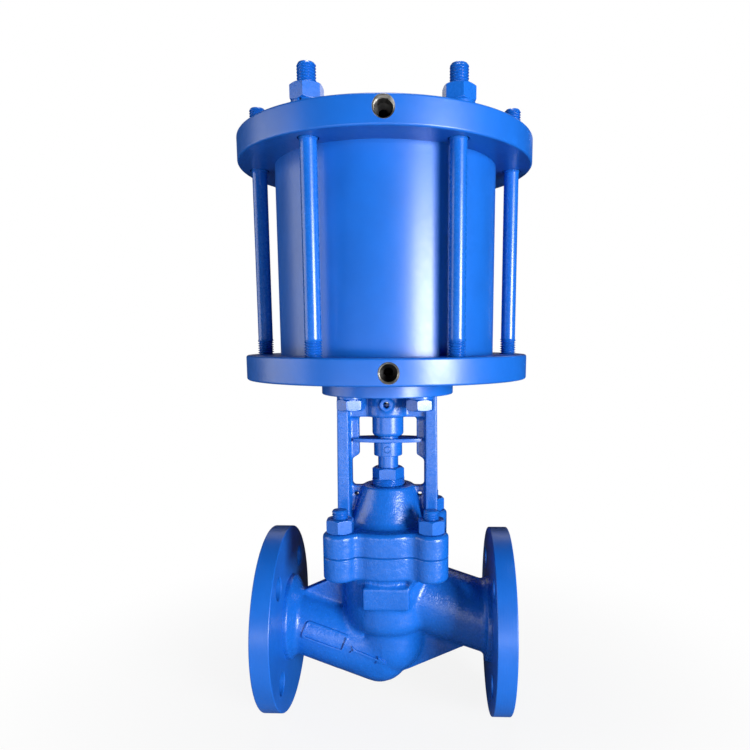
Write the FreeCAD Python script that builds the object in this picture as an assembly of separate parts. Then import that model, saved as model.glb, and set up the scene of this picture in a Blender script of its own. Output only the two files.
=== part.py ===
import FreeCAD, Part
import math
import os

Vector = FreeCAD.Vector

# Flanged globe valve, nominal bore 40, closed by a spring and opened by air on a piston.
# Millimetres. Heights are measured from the pipe axis, and the whole valve is lifted at the end
# so that the lowest points of the flange rims lie at height zero.
# X runs from inlet to outlet, Z is the stem axis.

# Pipe flanges
face_to_face = 200.0
flange_diameter = 150.0
flange_thickness = 18.0
flange_edge_chamfer = 0.8
raised_face_diameter = 88.0
raised_face_height = 3.0
bolt_circle = 110.0
bolt_hole_diameter = 18.0
bolt_count = 4
pipe_bore = 40.0
flange_hub_radius = 34.5
flange_hub_length = 3.5
inlet_hub_blend = 6.5
outlet_hub_blend = 2.5
hub_blend_radius = 24.0

# Body casting
body_wall = 6.5
chamber_floor = 4.0
inlet_wall = 5.5
inlet_slope = 21.0
inlet_bend = 17.8  # from the flange face to where the axes of mouth and sloped pipe meet
inlet_end = 8.0  # from the stem axis to the centre of the inlet's rounded end
outlet_slope = 19.0
outlet_bend = 15.1
outlet_throat_radius = 21.5
bend_radius = 40.0
chamber_bore = 60.0
chamber_corner = 5.0
chamber_shoulder_radius = 12.0
bowl_radius = 22.0
bowl_depth = 17.0
bridge_thickness = 9.0
web_thickness = 8.0
web_slope = 24.5
upper_web_height = 39.5  # where the web between inlet and neck meets the neck
lower_web_depth = 44.6
lower_web_start = 14.0
pad_width = 36.0
pad_height = 18.0
pad_low = 22.0
pad_stand = 2.0  # how far the pad stands in front of the neck
flange_rib_angle = -60.0  # small cast rib under the body flange, beside the pad
flange_rib_thickness = 6.0
flange_rib_height = 9.0
flange_rib_reach = 9.5

# Joint between body and bonnet
body_top = 65.0
body_flange_thickness = 18.5
bonnet_flange_thickness = 17.5
stud_offset = 34.5
ear_radius = 13.2
flange_bulge_radius = 44.0
scallop_radius = 8.0
cast_edge = 2.0
gasket_thickness = 1.0
gasket_outer_radius = 41.0
stud_diameter = 12.0
stud_depth = 16.0
stud_above_nut = 6.5

# Hexagon nuts and screws, all M12
hex_width = 19.0
nut_height = 10.8
hex_chamfer_angle = 30.0
thread_fit = 0.05

# Seat and disc
seat_height = 2.0
seat_bore = 39.0
seat_ring_radius = 24.0
seat_ring_depth = 6.0
seat_land = 1.5
disc_radius = 24.5
disc_thickness = 10.0
disc_hub_radius = 17.0
disc_hub_height = 6.0
disc_socket_radius = 12.0
disc_socket_floor = 6.0
lock_ring_thickness = 5.0
stem_head_radius = 10.5
stem_head_height = 3.5

# Bellows
bellows_outer_radius = 22.0
bellows_inner_radius = 14.0
bellows_wall = 0.8
bellows_folds = 7
bellows_collar = 2.0
end_ring_thickness = 4.0
end_ring_gap = 2.0
top_ring_radius = 37.7
top_ring_thickness = 4.5
top_ring_seat_depth = 6.0
ring_clearance = 0.3

# Stem, packing and gland
stem_diameter = 16.0
stem_top_diameter = 12.0
stem_lift = 12.0
running_fit = 0.08
press_clearance = 0.02
bonnet_cavity_radius = 24.0
bonnet_cavity_height = 12.0
bush_radius = 11.0
bush_length = 11.0
packing_radius = 12.0
packing_rings = 4
packing_ring_height = 2.8
packing_ring_gap = 0.05
follower_height = 5.0
gland_thread_diameter = 26.0
gland_thread_length = 14.0
gland_thread_showing = 4.9
gland_hex_width = 22.0
gland_hex_height = 9.1
gland_bore_clearance = 0.4

# Bonnet neck and yoke
neck_height = 30.0
neck_foot_radius = 29.0
neck_top_radius = 20.6
neck_web_height = 29.0
weep_hole_diameter = 3.6
weep_hole_x = 25.3
weep_hole_drop = 6.5
yoke_height = 114.9
leg_inner = 29.7
leg_thickness = 8.8
leg_spread = 1.2
leg_half_depth = 13.0
leg_edge_radius = 1.2
rail_step = 1.1  # how far the web stands in from the leg below the guide rails
rail_depth = 7.0
rail_low = 50.5  # above the bonnet flange
rail_chamfer = 4.0
yoke_flange_radius = 51.0
yoke_flange_thickness = 12.2
yoke_flange_chamfer = 0.8
hub_radius = 17.0
hub_height = 18.2
hub_clearance = 0.8
hub_edge = 1.2
arm_half_depth = 8.0
lube_boss_radius = 5.2
lube_boss_stand = 1.5
lube_hole_diameter = 5.0
lube_hole_drop = 8.0
yoke_bolt_x = 26.0
yoke_bolt_y = 24.0
yoke_bolt_hole = 13.5
yoke_bolt_depth = 13.0
bolt_head_height = 8.6
lock_washer_thickness = 2.5
lock_washer_radius = 10.2
lock_washer_gap = 1.8
washer_bore_clearance = 0.3

# Couplings between stem and piston rod
stem_showing = 9.5
sleeve_radius = 11.2
sleeve_length = 11.1
sleeve_edge = 0.8
sleeve_pin_diameter = 5.2
plate_thickness = 3.0
plate_width = 23.0
plate_end_width = 14.0
plate_end_gap = 2.7
slot_clearance = 0.5
coupling_neck_radius = 8.2
coupling_neck_height = 1.4
coupling_radius = 12.3
coupling_length = 26.0
coupling_edge_radius = 3.0

# Actuator
actuator_turn = 3.0  # of the tie rods about the stem axis, in degrees
bottom_cover_thickness = 18.0
bottom_cover_margin = 12.7  # from the circle of the tie rods to the rim
top_cover_thickness = 18.0
top_cover_margin = 13.45
cover_edge_radius = 1.0
barrel_bore = 150.0
barrel_wall = 6.2
barrel_showing = 135.0
barrel_seat_depth = 4.0
barrel_gasket_thickness = 1.0
barrel_gasket_inset = 1.0
groove_clearance = 0.2
tie_rod_count = 6
tie_rod_gap = 6.6  # between the barrel and the thread of a tie rod
tie_rod_shank_diameter = 10.9
tie_rod_thread_diameter = 12.0
tie_rod_thread_showing = 11.6
tie_rod_depth = 15.0
tie_nut_height = 10.0
tie_rod_top_thread = 46.0
tie_rod_above_nut = 12.5
tie_rod_hole = 14.0
rod_end_chamfer = 1.0
port_diameter = 11.8
port_depth = 14.0
port_drilling = 6.0
port_well_diameter = 7.0
port_well_inset = 13.0  # from the wall of the cylinder to the well's axis
port_well_past = 0.5  # how far the well runs past the drilling
lower_port_rise = 8.6  # above the lower face of the cover
lower_port_turn = 4.3
upper_port_rise = 10.4
upper_port_turn = 3.3

# Piston, rod and spring
rod_diameter = 16.0
rod_thread_diameter = 12.0
rod_gap_in_coupling = 2.0
cover_boss_radius = 18.0
cover_boss_height = 6.0
wiper_radius = 12.0
wiper_height = 3.4
rod_bush_radius = 11.0
rod_seal_radius = 13.0
rod_seal_height = 5.0
piston_gap = 3.6
piston_thickness = 16.0
piston_clearance = 0.5
piston_seal_height = 4.0
piston_seal_depth = 4.0
piston_seal_low = 2.5
guide_ring_height = 4.0
guide_ring_depth = 2.5
guide_ring_low = 9.5
ring_side_clearance = 0.1
piston_rim = 9.0
piston_pocket_inner = 50.0
piston_pocket_depth = 7.0
spring_boss_radius = 33.0
spring_boss_height = 6.0
nut_well_radius = 15.0
stop_tube_radius = 31.0
stop_tube_wall = 4.0
stop_tube_seat_depth = 4.0
piston_washer_radius = 12.0
piston_washer_thickness = 2.5
rod_above_nut = 3.0
spring_mean_radius = 40.5
spring_wire_diameter = 10.0
spring_coils = 5
spring_seat_gap = 0.1

# Worked-out heights
pipe_height = flange_diameter / 2
bonnet_bottom = body_top + gasket_thickness
bonnet_top = bonnet_bottom + bonnet_flange_thickness
neck_top = bonnet_top + neck_height
gland_hex_low = neck_top + gland_thread_showing
gland_top = gland_hex_low + gland_hex_height
gland_low = gland_hex_low - gland_thread_length
follower_low = gland_low - follower_height
packing_low = follower_low - packing_rings * packing_ring_height
yoke_top = bonnet_top + yoke_height
yoke_flange_low = yoke_top - yoke_flange_thickness
hub_low = yoke_flange_low - hub_height
sleeve_low = gland_top + stem_showing
sleeve_top = sleeve_low + sleeve_length
plate_top = sleeve_top + plate_thickness
coupling_low = plate_top + coupling_neck_height
coupling_top = coupling_low + coupling_length
bottom_cover_top = yoke_top + bottom_cover_thickness
top_cover_low = bottom_cover_top + barrel_showing
top_cover_top = top_cover_low + top_cover_thickness
barrel_low = bottom_cover_top - barrel_seat_depth
barrel_top = top_cover_low + barrel_seat_depth
tie_nut_low = top_cover_top + lock_washer_thickness
tie_rod_top = tie_nut_low + tie_nut_height + tie_rod_above_nut
boss_top = bottom_cover_top + cover_boss_height
piston_low = boss_top + piston_gap
piston_top = piston_low + piston_thickness
bellows_top = body_top - top_ring_thickness
socket_floor = seat_height + disc_socket_floor
disc_top = seat_height + disc_thickness + disc_hub_height
end_ring_low = disc_top + end_ring_gap
bellows_low = end_ring_low + end_ring_thickness

# Worked-out radii
stem_radius = stem_diameter / 2
stem_top_radius = stem_top_diameter / 2
rod_radius = rod_diameter / 2
rod_thread_radius = rod_thread_diameter / 2
stud_radius = stud_diameter / 2
chamber_radius = chamber_bore / 2
bore_radius = pipe_bore / 2
barrel_radius = barrel_bore / 2
tie_rod_circle_radius = barrel_radius + barrel_wall + tie_rod_gap + tie_rod_thread_diameter / 2
bottom_cover_radius = tie_rod_circle_radius + bottom_cover_margin
top_cover_radius = tie_rod_circle_radius + top_cover_margin
port_well_radius = barrel_radius - port_well_inset
hub_bore_radius = coupling_radius + hub_clearance


def cylinder(radius, low, high, x=0.0, y=0.0):
    return Part.makeCylinder(radius, high - low, Vector(x, y, low))


def ring(outer, inner, low, high):
    return cylinder(outer, low, high).cut(cylinder(inner, low - 1, high + 1))


def turned(profile):
    """Solid turned about Z from (radius, height) corners."""
    points = [Vector(radius, 0, height) for radius, height in profile]
    face = Part.Face(Part.makePolygon(points + points[:1]))
    return face.revolve(Vector(0, 0, 0), Vector(0, 0, 1), 360)


def plate_xz(profile, half_depth):
    """Upright plate across Y from (x, height) corners."""
    points = [Vector(x, -half_depth, height) for x, height in profile]
    face = Part.Face(Part.makePolygon(points + points[:1]))
    return face.extrude(Vector(0, 2 * half_depth, 0))


def along(start, end, radius):
    return Part.makeCylinder(radius, (end - start).Length, start, end - start)


def dome(radius, centre, top):
    """Upright cylinder that ends below in a hemisphere."""
    lowest = Vector(0, 0, centre - radius)
    middle = Vector(radius * math.sin(math.pi / 4), 0, centre - radius * math.cos(math.pi / 4))
    edges = [Part.Arc(lowest, middle, Vector(radius, 0, centre)).toShape(),
             Part.makeLine(Vector(radius, 0, centre), Vector(radius, 0, top)),
             Part.makeLine(Vector(radius, 0, top), Vector(0, 0, top)),
             Part.makeLine(Vector(0, 0, top), lowest)]
    return Part.Face(Part.Wire(edges)).revolve(Vector(0, 0, 0), Vector(0, 0, 1), 360)


def round_ended(start, end, radius):
    """Cylinder from start whose far end is a hemisphere about end."""
    shape = dome(radius, 0.0, (end - start).Length)
    shape.Placement = FreeCAD.Placement(end, FreeCAD.Rotation(Vector(0, 0, 1), start - end))
    return shape


def fused(shapes):
    return shapes[0].multiFuse(shapes[1:]).removeSplitter()


def mirrored(shape):
    return shape.mirror(Vector(0, 0, 0), Vector(1, 0, 0))


def turned_by(shape, degrees):
    copy = shape.copy()
    copy.rotate(Vector(0, 0, 0), Vector(0, 0, 1), degrees)
    return copy


def turned_actuator(shape):
    return turned_by(shape, actuator_turn)


def circle_places(count, radius, first_angle):
    places = []
    for index in range(count):
        angle = math.radians(first_angle + 360.0 * index / count)
        places.append((radius * math.cos(angle), radius * math.sin(angle)))
    return places


def corner_places(x, y):
    return [(side * x, end * y) for side in (-1, 1) for end in (-1, 1)]


stud_places = corner_places(stud_offset, stud_offset)
yoke_bolt_places = corner_places(yoke_bolt_x, yoke_bolt_y)
tie_rod_places = circle_places(tie_rod_count, tie_rod_circle_radius, 90.0 - 180.0 / tie_rod_count)


def at_places(shape, places):
    copies = []
    for x, y in places:
        copy = shape.copy()
        copy.translate(Vector(x, y, 0))
        copies.append(copy)
    return Part.makeCompound(copies)


def hexagon(width, low, high, lower_chamfer=True, upper_chamfer=True):
    """Hexagon bar with its corners turned off at 30 degrees."""
    corner = width / math.sqrt(3)
    face_radius = width / 2 * 0.96
    drop = (corner - face_radius) * math.tan(math.radians(hex_chamfer_angle))
    points = []
    for index in range(6):
        angle = math.radians(60.0 * index)
        points.append(Vector(corner * math.cos(angle), corner * math.sin(angle), low))
    bar = Part.Face(Part.makePolygon(points + points[:1])).extrude(Vector(0, 0, high - low))
    profile = [(0, low)]
    profile += [(face_radius, low), (corner, low + drop)] if lower_chamfer else [(corner, low)]
    profile += [(corner, high - drop), (face_radius, high)] if upper_chamfer else [(corner, high)]
    profile.append((0, high))
    return bar.common(turned(profile))


def nut(low, height):
    bore = cylinder(stud_radius + thread_fit, low - 1, low + height + 1)
    return hexagon(hex_width, low, low + height).cut(bore)


def lock_washer(low):
    """Split spring washer for an M12 thread."""
    body = ring(lock_washer_radius, stud_radius + washer_bore_clearance, low, low + lock_washer_thickness)
    slit = Part.makeBox(lock_washer_radius, lock_washer_gap, lock_washer_thickness + 2)
    slit.rotate(Vector(0, 0, 0), Vector(0, 0, 1), 60)
    slit.translate(Vector(0, 0, low - 1))
    return body.cut(slit)


def chamfered_rod(radius, low, high, chamfer):
    return turned([(0, low), (radius - chamfer, low), (radius, low + chamfer),
                   (radius, high - chamfer), (radius - chamfer, high), (0, high)])


# Body casting

def on_inlet_axis(x):
    fall = (x + face_to_face / 2 - inlet_bend) * math.tan(math.radians(inlet_slope))
    return Vector(x, 0, -fall)


def on_outlet_axis(x):
    rise = (face_to_face / 2 - outlet_bend - x) * math.tan(math.radians(outlet_slope))
    return Vector(x, 0, rise)


def bend_length(slope):
    """Distance from where two axes meet to where the bend between them starts."""
    return bend_radius * math.tan(math.radians(slope / 2))


def pipe_bend(x, centre_height, slope):
    """Bend of the flow passage that starts on the pipe axis at x."""
    mouth = Part.Face(Part.Wire(Part.makeCircle(bore_radius, Vector(x, 0, 0), Vector(1, 0, 0))))
    return mouth.revolve(Vector(x, 0, centre_height), Vector(0, 1, 0), slope)


def pipe_flange(hub_blend):
    """Outlet flange with its raised face, hub and the blend into the pipe."""
    back = face_to_face / 2 - flange_thickness
    face = face_to_face / 2 - raised_face_height
    rim = flange_diameter / 2
    hub_end = back - flange_hub_length
    profile = [(0, hub_end - hub_blend), (hub_blend_radius, hub_end - hub_blend),
               (flange_hub_radius, hub_end), (flange_hub_radius, back),
               (rim - flange_edge_chamfer, back), (rim, back + flange_edge_chamfer),
               (rim, face - flange_edge_chamfer), (rim - flange_edge_chamfer, face),
               (raised_face_diameter / 2, face), (raised_face_diameter / 2, face_to_face / 2),
               (0, face_to_face / 2)]
    flange = turned(profile)
    flange.rotate(Vector(0, 0, 0), Vector(0, 1, 0), 90)
    return flange


def flange_holes():
    places = circle_places(bolt_count, bolt_circle / 2, 180.0 / bolt_count)
    back = face_to_face / 2 - flange_thickness
    holes = []
    for y, z in places:
        for side in (-1, 1):
            start = Vector(side * (back - 1), y, z)
            end = Vector(side * (face_to_face / 2 + 1), y, z)
            holes.append(along(start, end, bolt_hole_diameter / 2))
    return holes


def bonnet_outline(low, high):
    """Square flange with four round ears, a bulge on each side and scallops between."""
    shapes = [cylinder(flange_bulge_radius, low, high)]
    for x, y in stud_places:
        shapes.append(cylinder(ear_radius, low, high, x, y))
    outline = fused(shapes)
    notches = [edge for edge in outline.Edges
               if len(edge.Vertexes) == 2 and abs(edge.tangentAt(edge.FirstParameter).z) > 0.99
               and edge.Length > (high - low) * 0.9]
    notches = [edge for edge in notches if edge.Curve.TypeId == "Part::GeomLine"]
    return outline.makeFillet(scallop_radius, notches)


def rim_edges(shape, height):
    return [edge for edge in shape.Edges
            if abs(edge.BoundBox.ZMin - height) < 0.001 and abs(edge.BoundBox.ZMax - height) < 0.001]


def rounded_rim(shape, height, radius):
    return shape.makeFillet(radius, rim_edges(shape, height))


def chamfered_rim(shape, height, size):
    return shape.makeChamfer(size, rim_edges(shape, height))


def neck_shell():
    """Upper chamber of the body with its rounded shoulder."""
    outer = chamber_radius + body_wall
    shell = cylinder(outer, -chamber_floor, body_top - body_flange_thickness + 1)
    return rounded_rim(shell, -chamber_floor, chamber_shoulder_radius)


def body_outside():
    wall_outer = bowl_radius + body_wall
    inlet_outer = bore_radius + inlet_wall
    outlet_outer = outlet_throat_radius + body_wall
    flange_back = face_to_face / 2 - flange_thickness
    shapes = [neck_shell(), dome(wall_outer, -bowl_depth, 0.0),
              pipe_flange(outlet_hub_blend), mirrored(pipe_flange(inlet_hub_blend))]
    shapes.append(round_ended(on_inlet_axis(-flange_back - 1), on_inlet_axis(-inlet_end), inlet_outer))
    shapes.append(along(on_outlet_axis(flange_back + 1), on_outlet_axis(0), outlet_outer))
    shapes += body_webs()
    shapes += [front_pad(), flange_rib()]
    top_flange = bonnet_outline(body_top - body_flange_thickness, body_top)
    shapes.append(chamfered_rim(top_flange, body_top - body_flange_thickness, cast_edge))
    return fused(shapes)


def body_webs():
    """Thin cast webs: inlet to neck above, bowl to outlet below."""
    half = web_thickness / 2
    tangent = math.tan(math.radians(web_slope))
    reach = face_to_face / 2 - flange_thickness - flange_hub_length
    outer = chamber_radius + body_wall
    upper_end = upper_web_height - (reach - outer) * tangent
    lower_end = -lower_web_depth + (reach - lower_web_start) * tangent
    upper = [(-outer + 5, upper_web_height + 5 * tangent), (-reach, upper_end), (-reach, 0), (-outer + 5, 0)]
    lower = [(lower_web_start, -lower_web_depth), (reach, lower_end), (reach, 0), (0, 0), (0, -lower_web_depth)]
    return [plate_xz(upper, half), plate_xz(lower, half)]


def front_pad():
    depth = chamber_radius + body_wall + pad_stand
    pad = Part.makeBox(pad_width, depth - chamber_radius / 2, pad_height)
    pad.translate(Vector(-pad_width / 2, -depth, pad_low))
    front = [edge for edge in pad.Edges if abs(edge.BoundBox.YMax + depth) < 0.001]
    return pad.makeFillet(pad_stand * 0.6, front)


def flange_rib():
    neck = chamber_radius + body_wall
    root = neck - body_wall / 2
    flange_low = body_top - body_flange_thickness
    profile = [(root, flange_low - flange_rib_height), (neck, flange_low - flange_rib_height),
               (neck + flange_rib_reach, flange_low), (neck + flange_rib_reach, flange_low + 1),
               (root, flange_low + 1)]
    return turned_by(plate_xz(profile, flange_rib_thickness / 2), flange_rib_angle)


def body_inside():
    """Flow passages, bellows chamber and seat ring recess."""
    outer = chamber_radius + body_wall
    bridge = cylinder(outer, -bridge_thickness, chamber_bore)
    face = face_to_face / 2
    tangent = bend_length(inlet_slope)
    sloped_start = on_inlet_axis(-face + inlet_bend + tangent * math.cos(math.radians(inlet_slope)))
    inlet = fused([along(Vector(-face - 1, 0, 0), Vector(-face + inlet_bend - tangent, 0, 0), bore_radius),
                   pipe_bend(-face + inlet_bend - tangent, -bend_radius, inlet_slope),
                   round_ended(sloped_start, on_inlet_axis(-inlet_end), bore_radius),
                   dome(bowl_radius, -bowl_depth, 0.0)]).cut(bridge)
    tangent = bend_length(outlet_slope)
    sloped_start = on_outlet_axis(face - outlet_bend - tangent * math.cos(math.radians(outlet_slope)))
    throat = on_outlet_axis(0) - sloped_start
    outlet = fused([along(Vector(face + 1, 0, 0), Vector(face - outlet_bend + tangent, 0, 0), bore_radius),
                    pipe_bend(face - outlet_bend + tangent, bend_radius, outlet_slope),
                    Part.makeCone(bore_radius, outlet_throat_radius, throat.Length, sloped_start, throat)])
    outlet = outlet.cut(cylinder(chamber_radius, -bridge_thickness, 0))
    chamber = chamfered_rim(cylinder(chamber_radius, 0, body_top + 1), 0, chamber_corner)
    ring_seat = cylinder(top_ring_radius + ring_clearance, body_top - top_ring_seat_depth, body_top + 1)
    return [inlet, outlet, chamber, ring_seat,
            cylinder(seat_ring_radius + press_clearance, -seat_ring_depth, 1),
            cylinder(bore_radius, -bridge_thickness - 1, 0)]


def valve_body():
    cuts = body_inside() + flange_holes()
    for x, y in stud_places:
        cuts.append(cylinder(stud_radius + thread_fit, body_top - stud_depth, body_top + 1, x, y))
    return body_outside().cut(cuts)


def seat_ring():
    inner = seat_bore / 2
    low = -seat_ring_depth
    return turned([(inner, low), (seat_ring_radius, low), (seat_ring_radius, 0.0),
                   (inner + seat_land + seat_height, 0.0), (inner + seat_land, seat_height),
                   (inner, seat_height)])


# Body and bonnet joint

def body_gasket():
    return ring(gasket_outer_radius, bonnet_cavity_radius, body_top, bonnet_bottom)


def bellows_gasket():
    low = body_top - top_ring_seat_depth
    return ring(top_ring_radius, chamber_radius, low, bellows_top)


def bellows_top_ring():
    return ring(top_ring_radius, bellows_inner_radius, bellows_top, body_top)


def bonnet_studs():
    low = body_top - stud_depth
    high = bonnet_top + nut_height + stud_above_nut
    return at_places(chamfered_rod(stud_radius, low, high, rod_end_chamfer), stud_places)


def bonnet_nuts():
    return at_places(nut(bonnet_top, nut_height), stud_places)


# Disc, stem and bellows

def disc():
    """Disc with a bevelled seating edge and a socket for the head of the stem."""
    low = seat_height
    shoulder = seat_height + disc_thickness
    bevel = 1.5
    outside = turned([(0, low), (disc_radius - bevel, low), (disc_radius, low + bevel),
                      (disc_radius, shoulder - bevel), (disc_radius - bevel, shoulder),
                      (disc_hub_radius, shoulder), (disc_hub_radius, disc_top), (0, disc_top)])
    return outside.cut(cylinder(disc_socket_radius, socket_floor, disc_top + 1))


def disc_lock_ring():
    outer = disc_socket_radius - thread_fit
    return ring(outer, stem_radius + ring_clearance, disc_top - lock_ring_thickness, disc_top)


def stem():
    head_top = socket_floor + stem_head_height
    end = plate_top + coupling_neck_height + coupling_length / 2 - rod_gap_in_coupling / 2
    edge = rod_end_chamfer
    body = turned([(0, socket_floor), (stem_head_radius - edge, socket_floor),
                   (stem_head_radius, socket_floor + edge), (stem_head_radius, head_top),
                   (stem_radius, head_top), (stem_radius, sleeve_top), (stem_top_radius, sleeve_top),
                   (stem_top_radius, end - edge), (stem_top_radius - edge, end), (0, end)])
    return body.cut(sleeve_pin_hole(thread_fit))


def sleeve_pin_hole(clearance):
    height = sleeve_low + sleeve_length / 2
    return along(Vector(0, -sleeve_radius - 1, height), Vector(0, sleeve_radius + 1, height),
                 sleeve_pin_diameter / 2 + clearance)


def bellows_end_ring():
    return ring(bellows_outer_radius, stem_radius + press_clearance, end_ring_low, bellows_low)


def bellows():
    """Folded tube between the end ring on the stem and the clamped ring at the joint."""
    start = bellows_low + bellows_collar
    pitch = (bellows_top - bellows_collar - start) / bellows_folds
    inner = [(bellows_inner_radius, bellows_low)]
    outer = [(bellows_inner_radius + bellows_wall, bellows_low)]
    for fold in range(bellows_folds):
        low = start + fold * pitch
        inner += [(bellows_inner_radius, low + bellows_wall / 2),
                  (bellows_outer_radius - bellows_wall, low + pitch / 2 - bellows_wall),
                  (bellows_outer_radius - bellows_wall, low + pitch / 2 + bellows_wall),
                  (bellows_inner_radius, low + pitch - bellows_wall / 2)]
        outer += [(bellows_inner_radius + bellows_wall, low),
                  (bellows_outer_radius, low + pitch / 2 - bellows_wall * 1.5),
                  (bellows_outer_radius, low + pitch / 2 + bellows_wall * 1.5),
                  (bellows_inner_radius + bellows_wall, low + pitch)]
    inner.append((bellows_inner_radius, bellows_top))
    outer.append((bellows_inner_radius + bellows_wall, bellows_top))
    return turned(inner + outer[::-1])


# Bonnet, packing and yoke in one casting with its fittings

def bonnet_yoke():
    shapes = [bonnet_plate(), bonnet_neck(), yoke_head()]
    for side in (-1, 1):
        shapes += [yoke_leg(side), yoke_web(side)]
    return fused(shapes).cut(bonnet_bores())


def bonnet_plate():
    plate = bonnet_outline(bonnet_bottom, bonnet_top)
    return chamfered_rim(plate, bonnet_top, cast_edge)


def bonnet_neck():
    foot_blend = 3.0
    top_edge = 1.2
    return turned([(0, bonnet_top - 1), (neck_foot_radius + foot_blend, bonnet_top - 1),
                   (neck_foot_radius + foot_blend, bonnet_top),
                   (neck_foot_radius, bonnet_top + foot_blend),
                   (neck_top_radius, neck_top - top_edge), (neck_top_radius - top_edge, neck_top),
                   (0, neck_top)])


def yoke_leg(side):
    outer = leg_inner + leg_thickness
    low = bonnet_top - 1
    high = yoke_flange_low + 1
    profile = [(side * leg_inner, low), (side * (outer + leg_spread), low),
               (side * outer, high), (side * leg_inner, high)]
    leg = plate_xz(profile, leg_half_depth)
    uprights = [edge for edge in leg.Edges if edge.BoundBox.ZLength > (high - low) * 0.9]
    return leg.makeFillet(leg_edge_radius, uprights)


def yoke_web(side):
    """Web inside each leg: gusset to the neck, thin strip, then the guide rail for the plate."""
    half = web_thickness / 2
    strip = leg_inner - rail_step
    rail = leg_inner - rail_depth
    gusset_top = bonnet_top + neck_web_height
    rail_low_height = bonnet_top + rail_low
    root = leg_inner + 1
    inside = neck_top_radius / 2
    profile = [(root, bonnet_top - 1), (inside, bonnet_top - 1), (inside, gusset_top), (strip, gusset_top),
               (strip, rail_low_height), (rail, rail_low_height + rail_chamfer),
               (rail, hub_low + 1), (root, hub_low + 1)]
    web = plate_xz([(side * x, z) for x, z in profile], half)
    weep = along(Vector(side * weep_hole_x, -half - 1, gusset_top - weep_hole_drop),
                 Vector(side * weep_hole_x, half + 1, gusset_top - weep_hole_drop), weep_hole_diameter / 2)
    return web.cut(weep)


def yoke_head():
    """Round flange under the actuator, with its hub, two arms and lubrication boss."""
    edge = yoke_flange_chamfer
    flange = turned([(0, yoke_flange_low), (yoke_flange_radius - edge, yoke_flange_low),
                     (yoke_flange_radius, yoke_flange_low + edge), (yoke_flange_radius, yoke_top - edge),
                     (yoke_flange_radius - edge, yoke_top), (0, yoke_top)])
    hub = chamfered_rim(cylinder(hub_radius, hub_low, yoke_flange_low + 1), hub_low, hub_edge)
    reach = leg_inner + leg_thickness / 2
    arms = Part.makeBox(2 * reach, 2 * arm_half_depth, hub_height + 1)
    arms.translate(Vector(-reach, -arm_half_depth, hub_low))
    boss = along(Vector(0, 0, lube_height()), Vector(0, -hub_radius - lube_boss_stand, lube_height()),
                 lube_boss_radius)
    return fused([flange, hub, arms, boss])


def lube_height():
    return yoke_flange_low - lube_hole_drop


def bonnet_bores():
    cavity_top = bonnet_bottom + bonnet_cavity_height
    cuts = [cylinder(bonnet_cavity_radius, bonnet_bottom - 1, cavity_top),
            cylinder(bush_radius + press_clearance, cavity_top - 1, packing_low + 1),
            cylinder(packing_radius, packing_low, neck_top + 1),
            cylinder(gland_thread_diameter / 2 + thread_fit, gland_low, neck_top + 1),
            cylinder(hub_bore_radius, hub_low - 1, yoke_top + 1),
            along(Vector(0, 0, lube_height()), Vector(0, -hub_radius - lube_boss_stand - 1, lube_height()),
                  lube_hole_diameter / 2)]
    for x, y in stud_places:
        cuts.append(cylinder(stud_radius + washer_bore_clearance, bonnet_bottom - 1, bonnet_top + 1, x, y))
    for x, y in yoke_bolt_places:
        cuts.append(cylinder(yoke_bolt_hole / 2, yoke_flange_low - 1, yoke_top + 1, x, y))
    return cuts


def stem_guide_bush():
    low = packing_low - bush_length
    return ring(bush_radius, stem_radius + running_fit, low, packing_low)


def packing_stack():
    rings = []
    for index in range(packing_rings):
        low = packing_low + index * packing_ring_height
        rings.append(ring(packing_radius - press_clearance, stem_radius + running_fit,
                          low, low + packing_ring_height - packing_ring_gap))
    return Part.makeCompound(rings)


def packing_follower():
    return ring(packing_radius - ring_clearance, stem_radius + ring_clearance, follower_low, gland_low)


def gland_nut():
    """Hexagon gland nut whose outside thread screws into the neck."""
    thread = cylinder(gland_thread_diameter / 2, gland_low, gland_hex_low)
    head = hexagon(gland_hex_width, gland_hex_low, gland_top, lower_chamfer=False)
    bore = cylinder(stem_radius + gland_bore_clearance, gland_low - 1, gland_top + 1)
    return thread.fuse(head).cut(bore)


def yoke_bolts():
    """Hexagon screws that reach up through the yoke flange into the lower cover."""
    head_high = yoke_flange_low - lock_washer_thickness
    head = hexagon(hex_width, head_high - bolt_head_height, head_high)
    shank = chamfered_rod(stud_radius, head_high - 1, yoke_top + yoke_bolt_depth, rod_end_chamfer)
    return at_places(head.fuse(shank), yoke_bolt_places)


def yoke_bolt_washers():
    return at_places(lock_washer(yoke_flange_low - lock_washer_thickness), yoke_bolt_places)


# Couplings

def stem_sleeve():
    edge = sleeve_edge
    inner = stem_radius + thread_fit
    sleeve = turned([(inner, sleeve_low), (sleeve_radius - edge, sleeve_low),
                     (sleeve_radius, sleeve_low + edge), (sleeve_radius, sleeve_top), (inner, sleeve_top)])
    return sleeve.cut(sleeve_pin_hole(thread_fit))


def sleeve_pin():
    bar = sleeve_pin_hole(0.0)
    return bar.common(cylinder(sleeve_radius, sleeve_low, sleeve_top))


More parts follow.
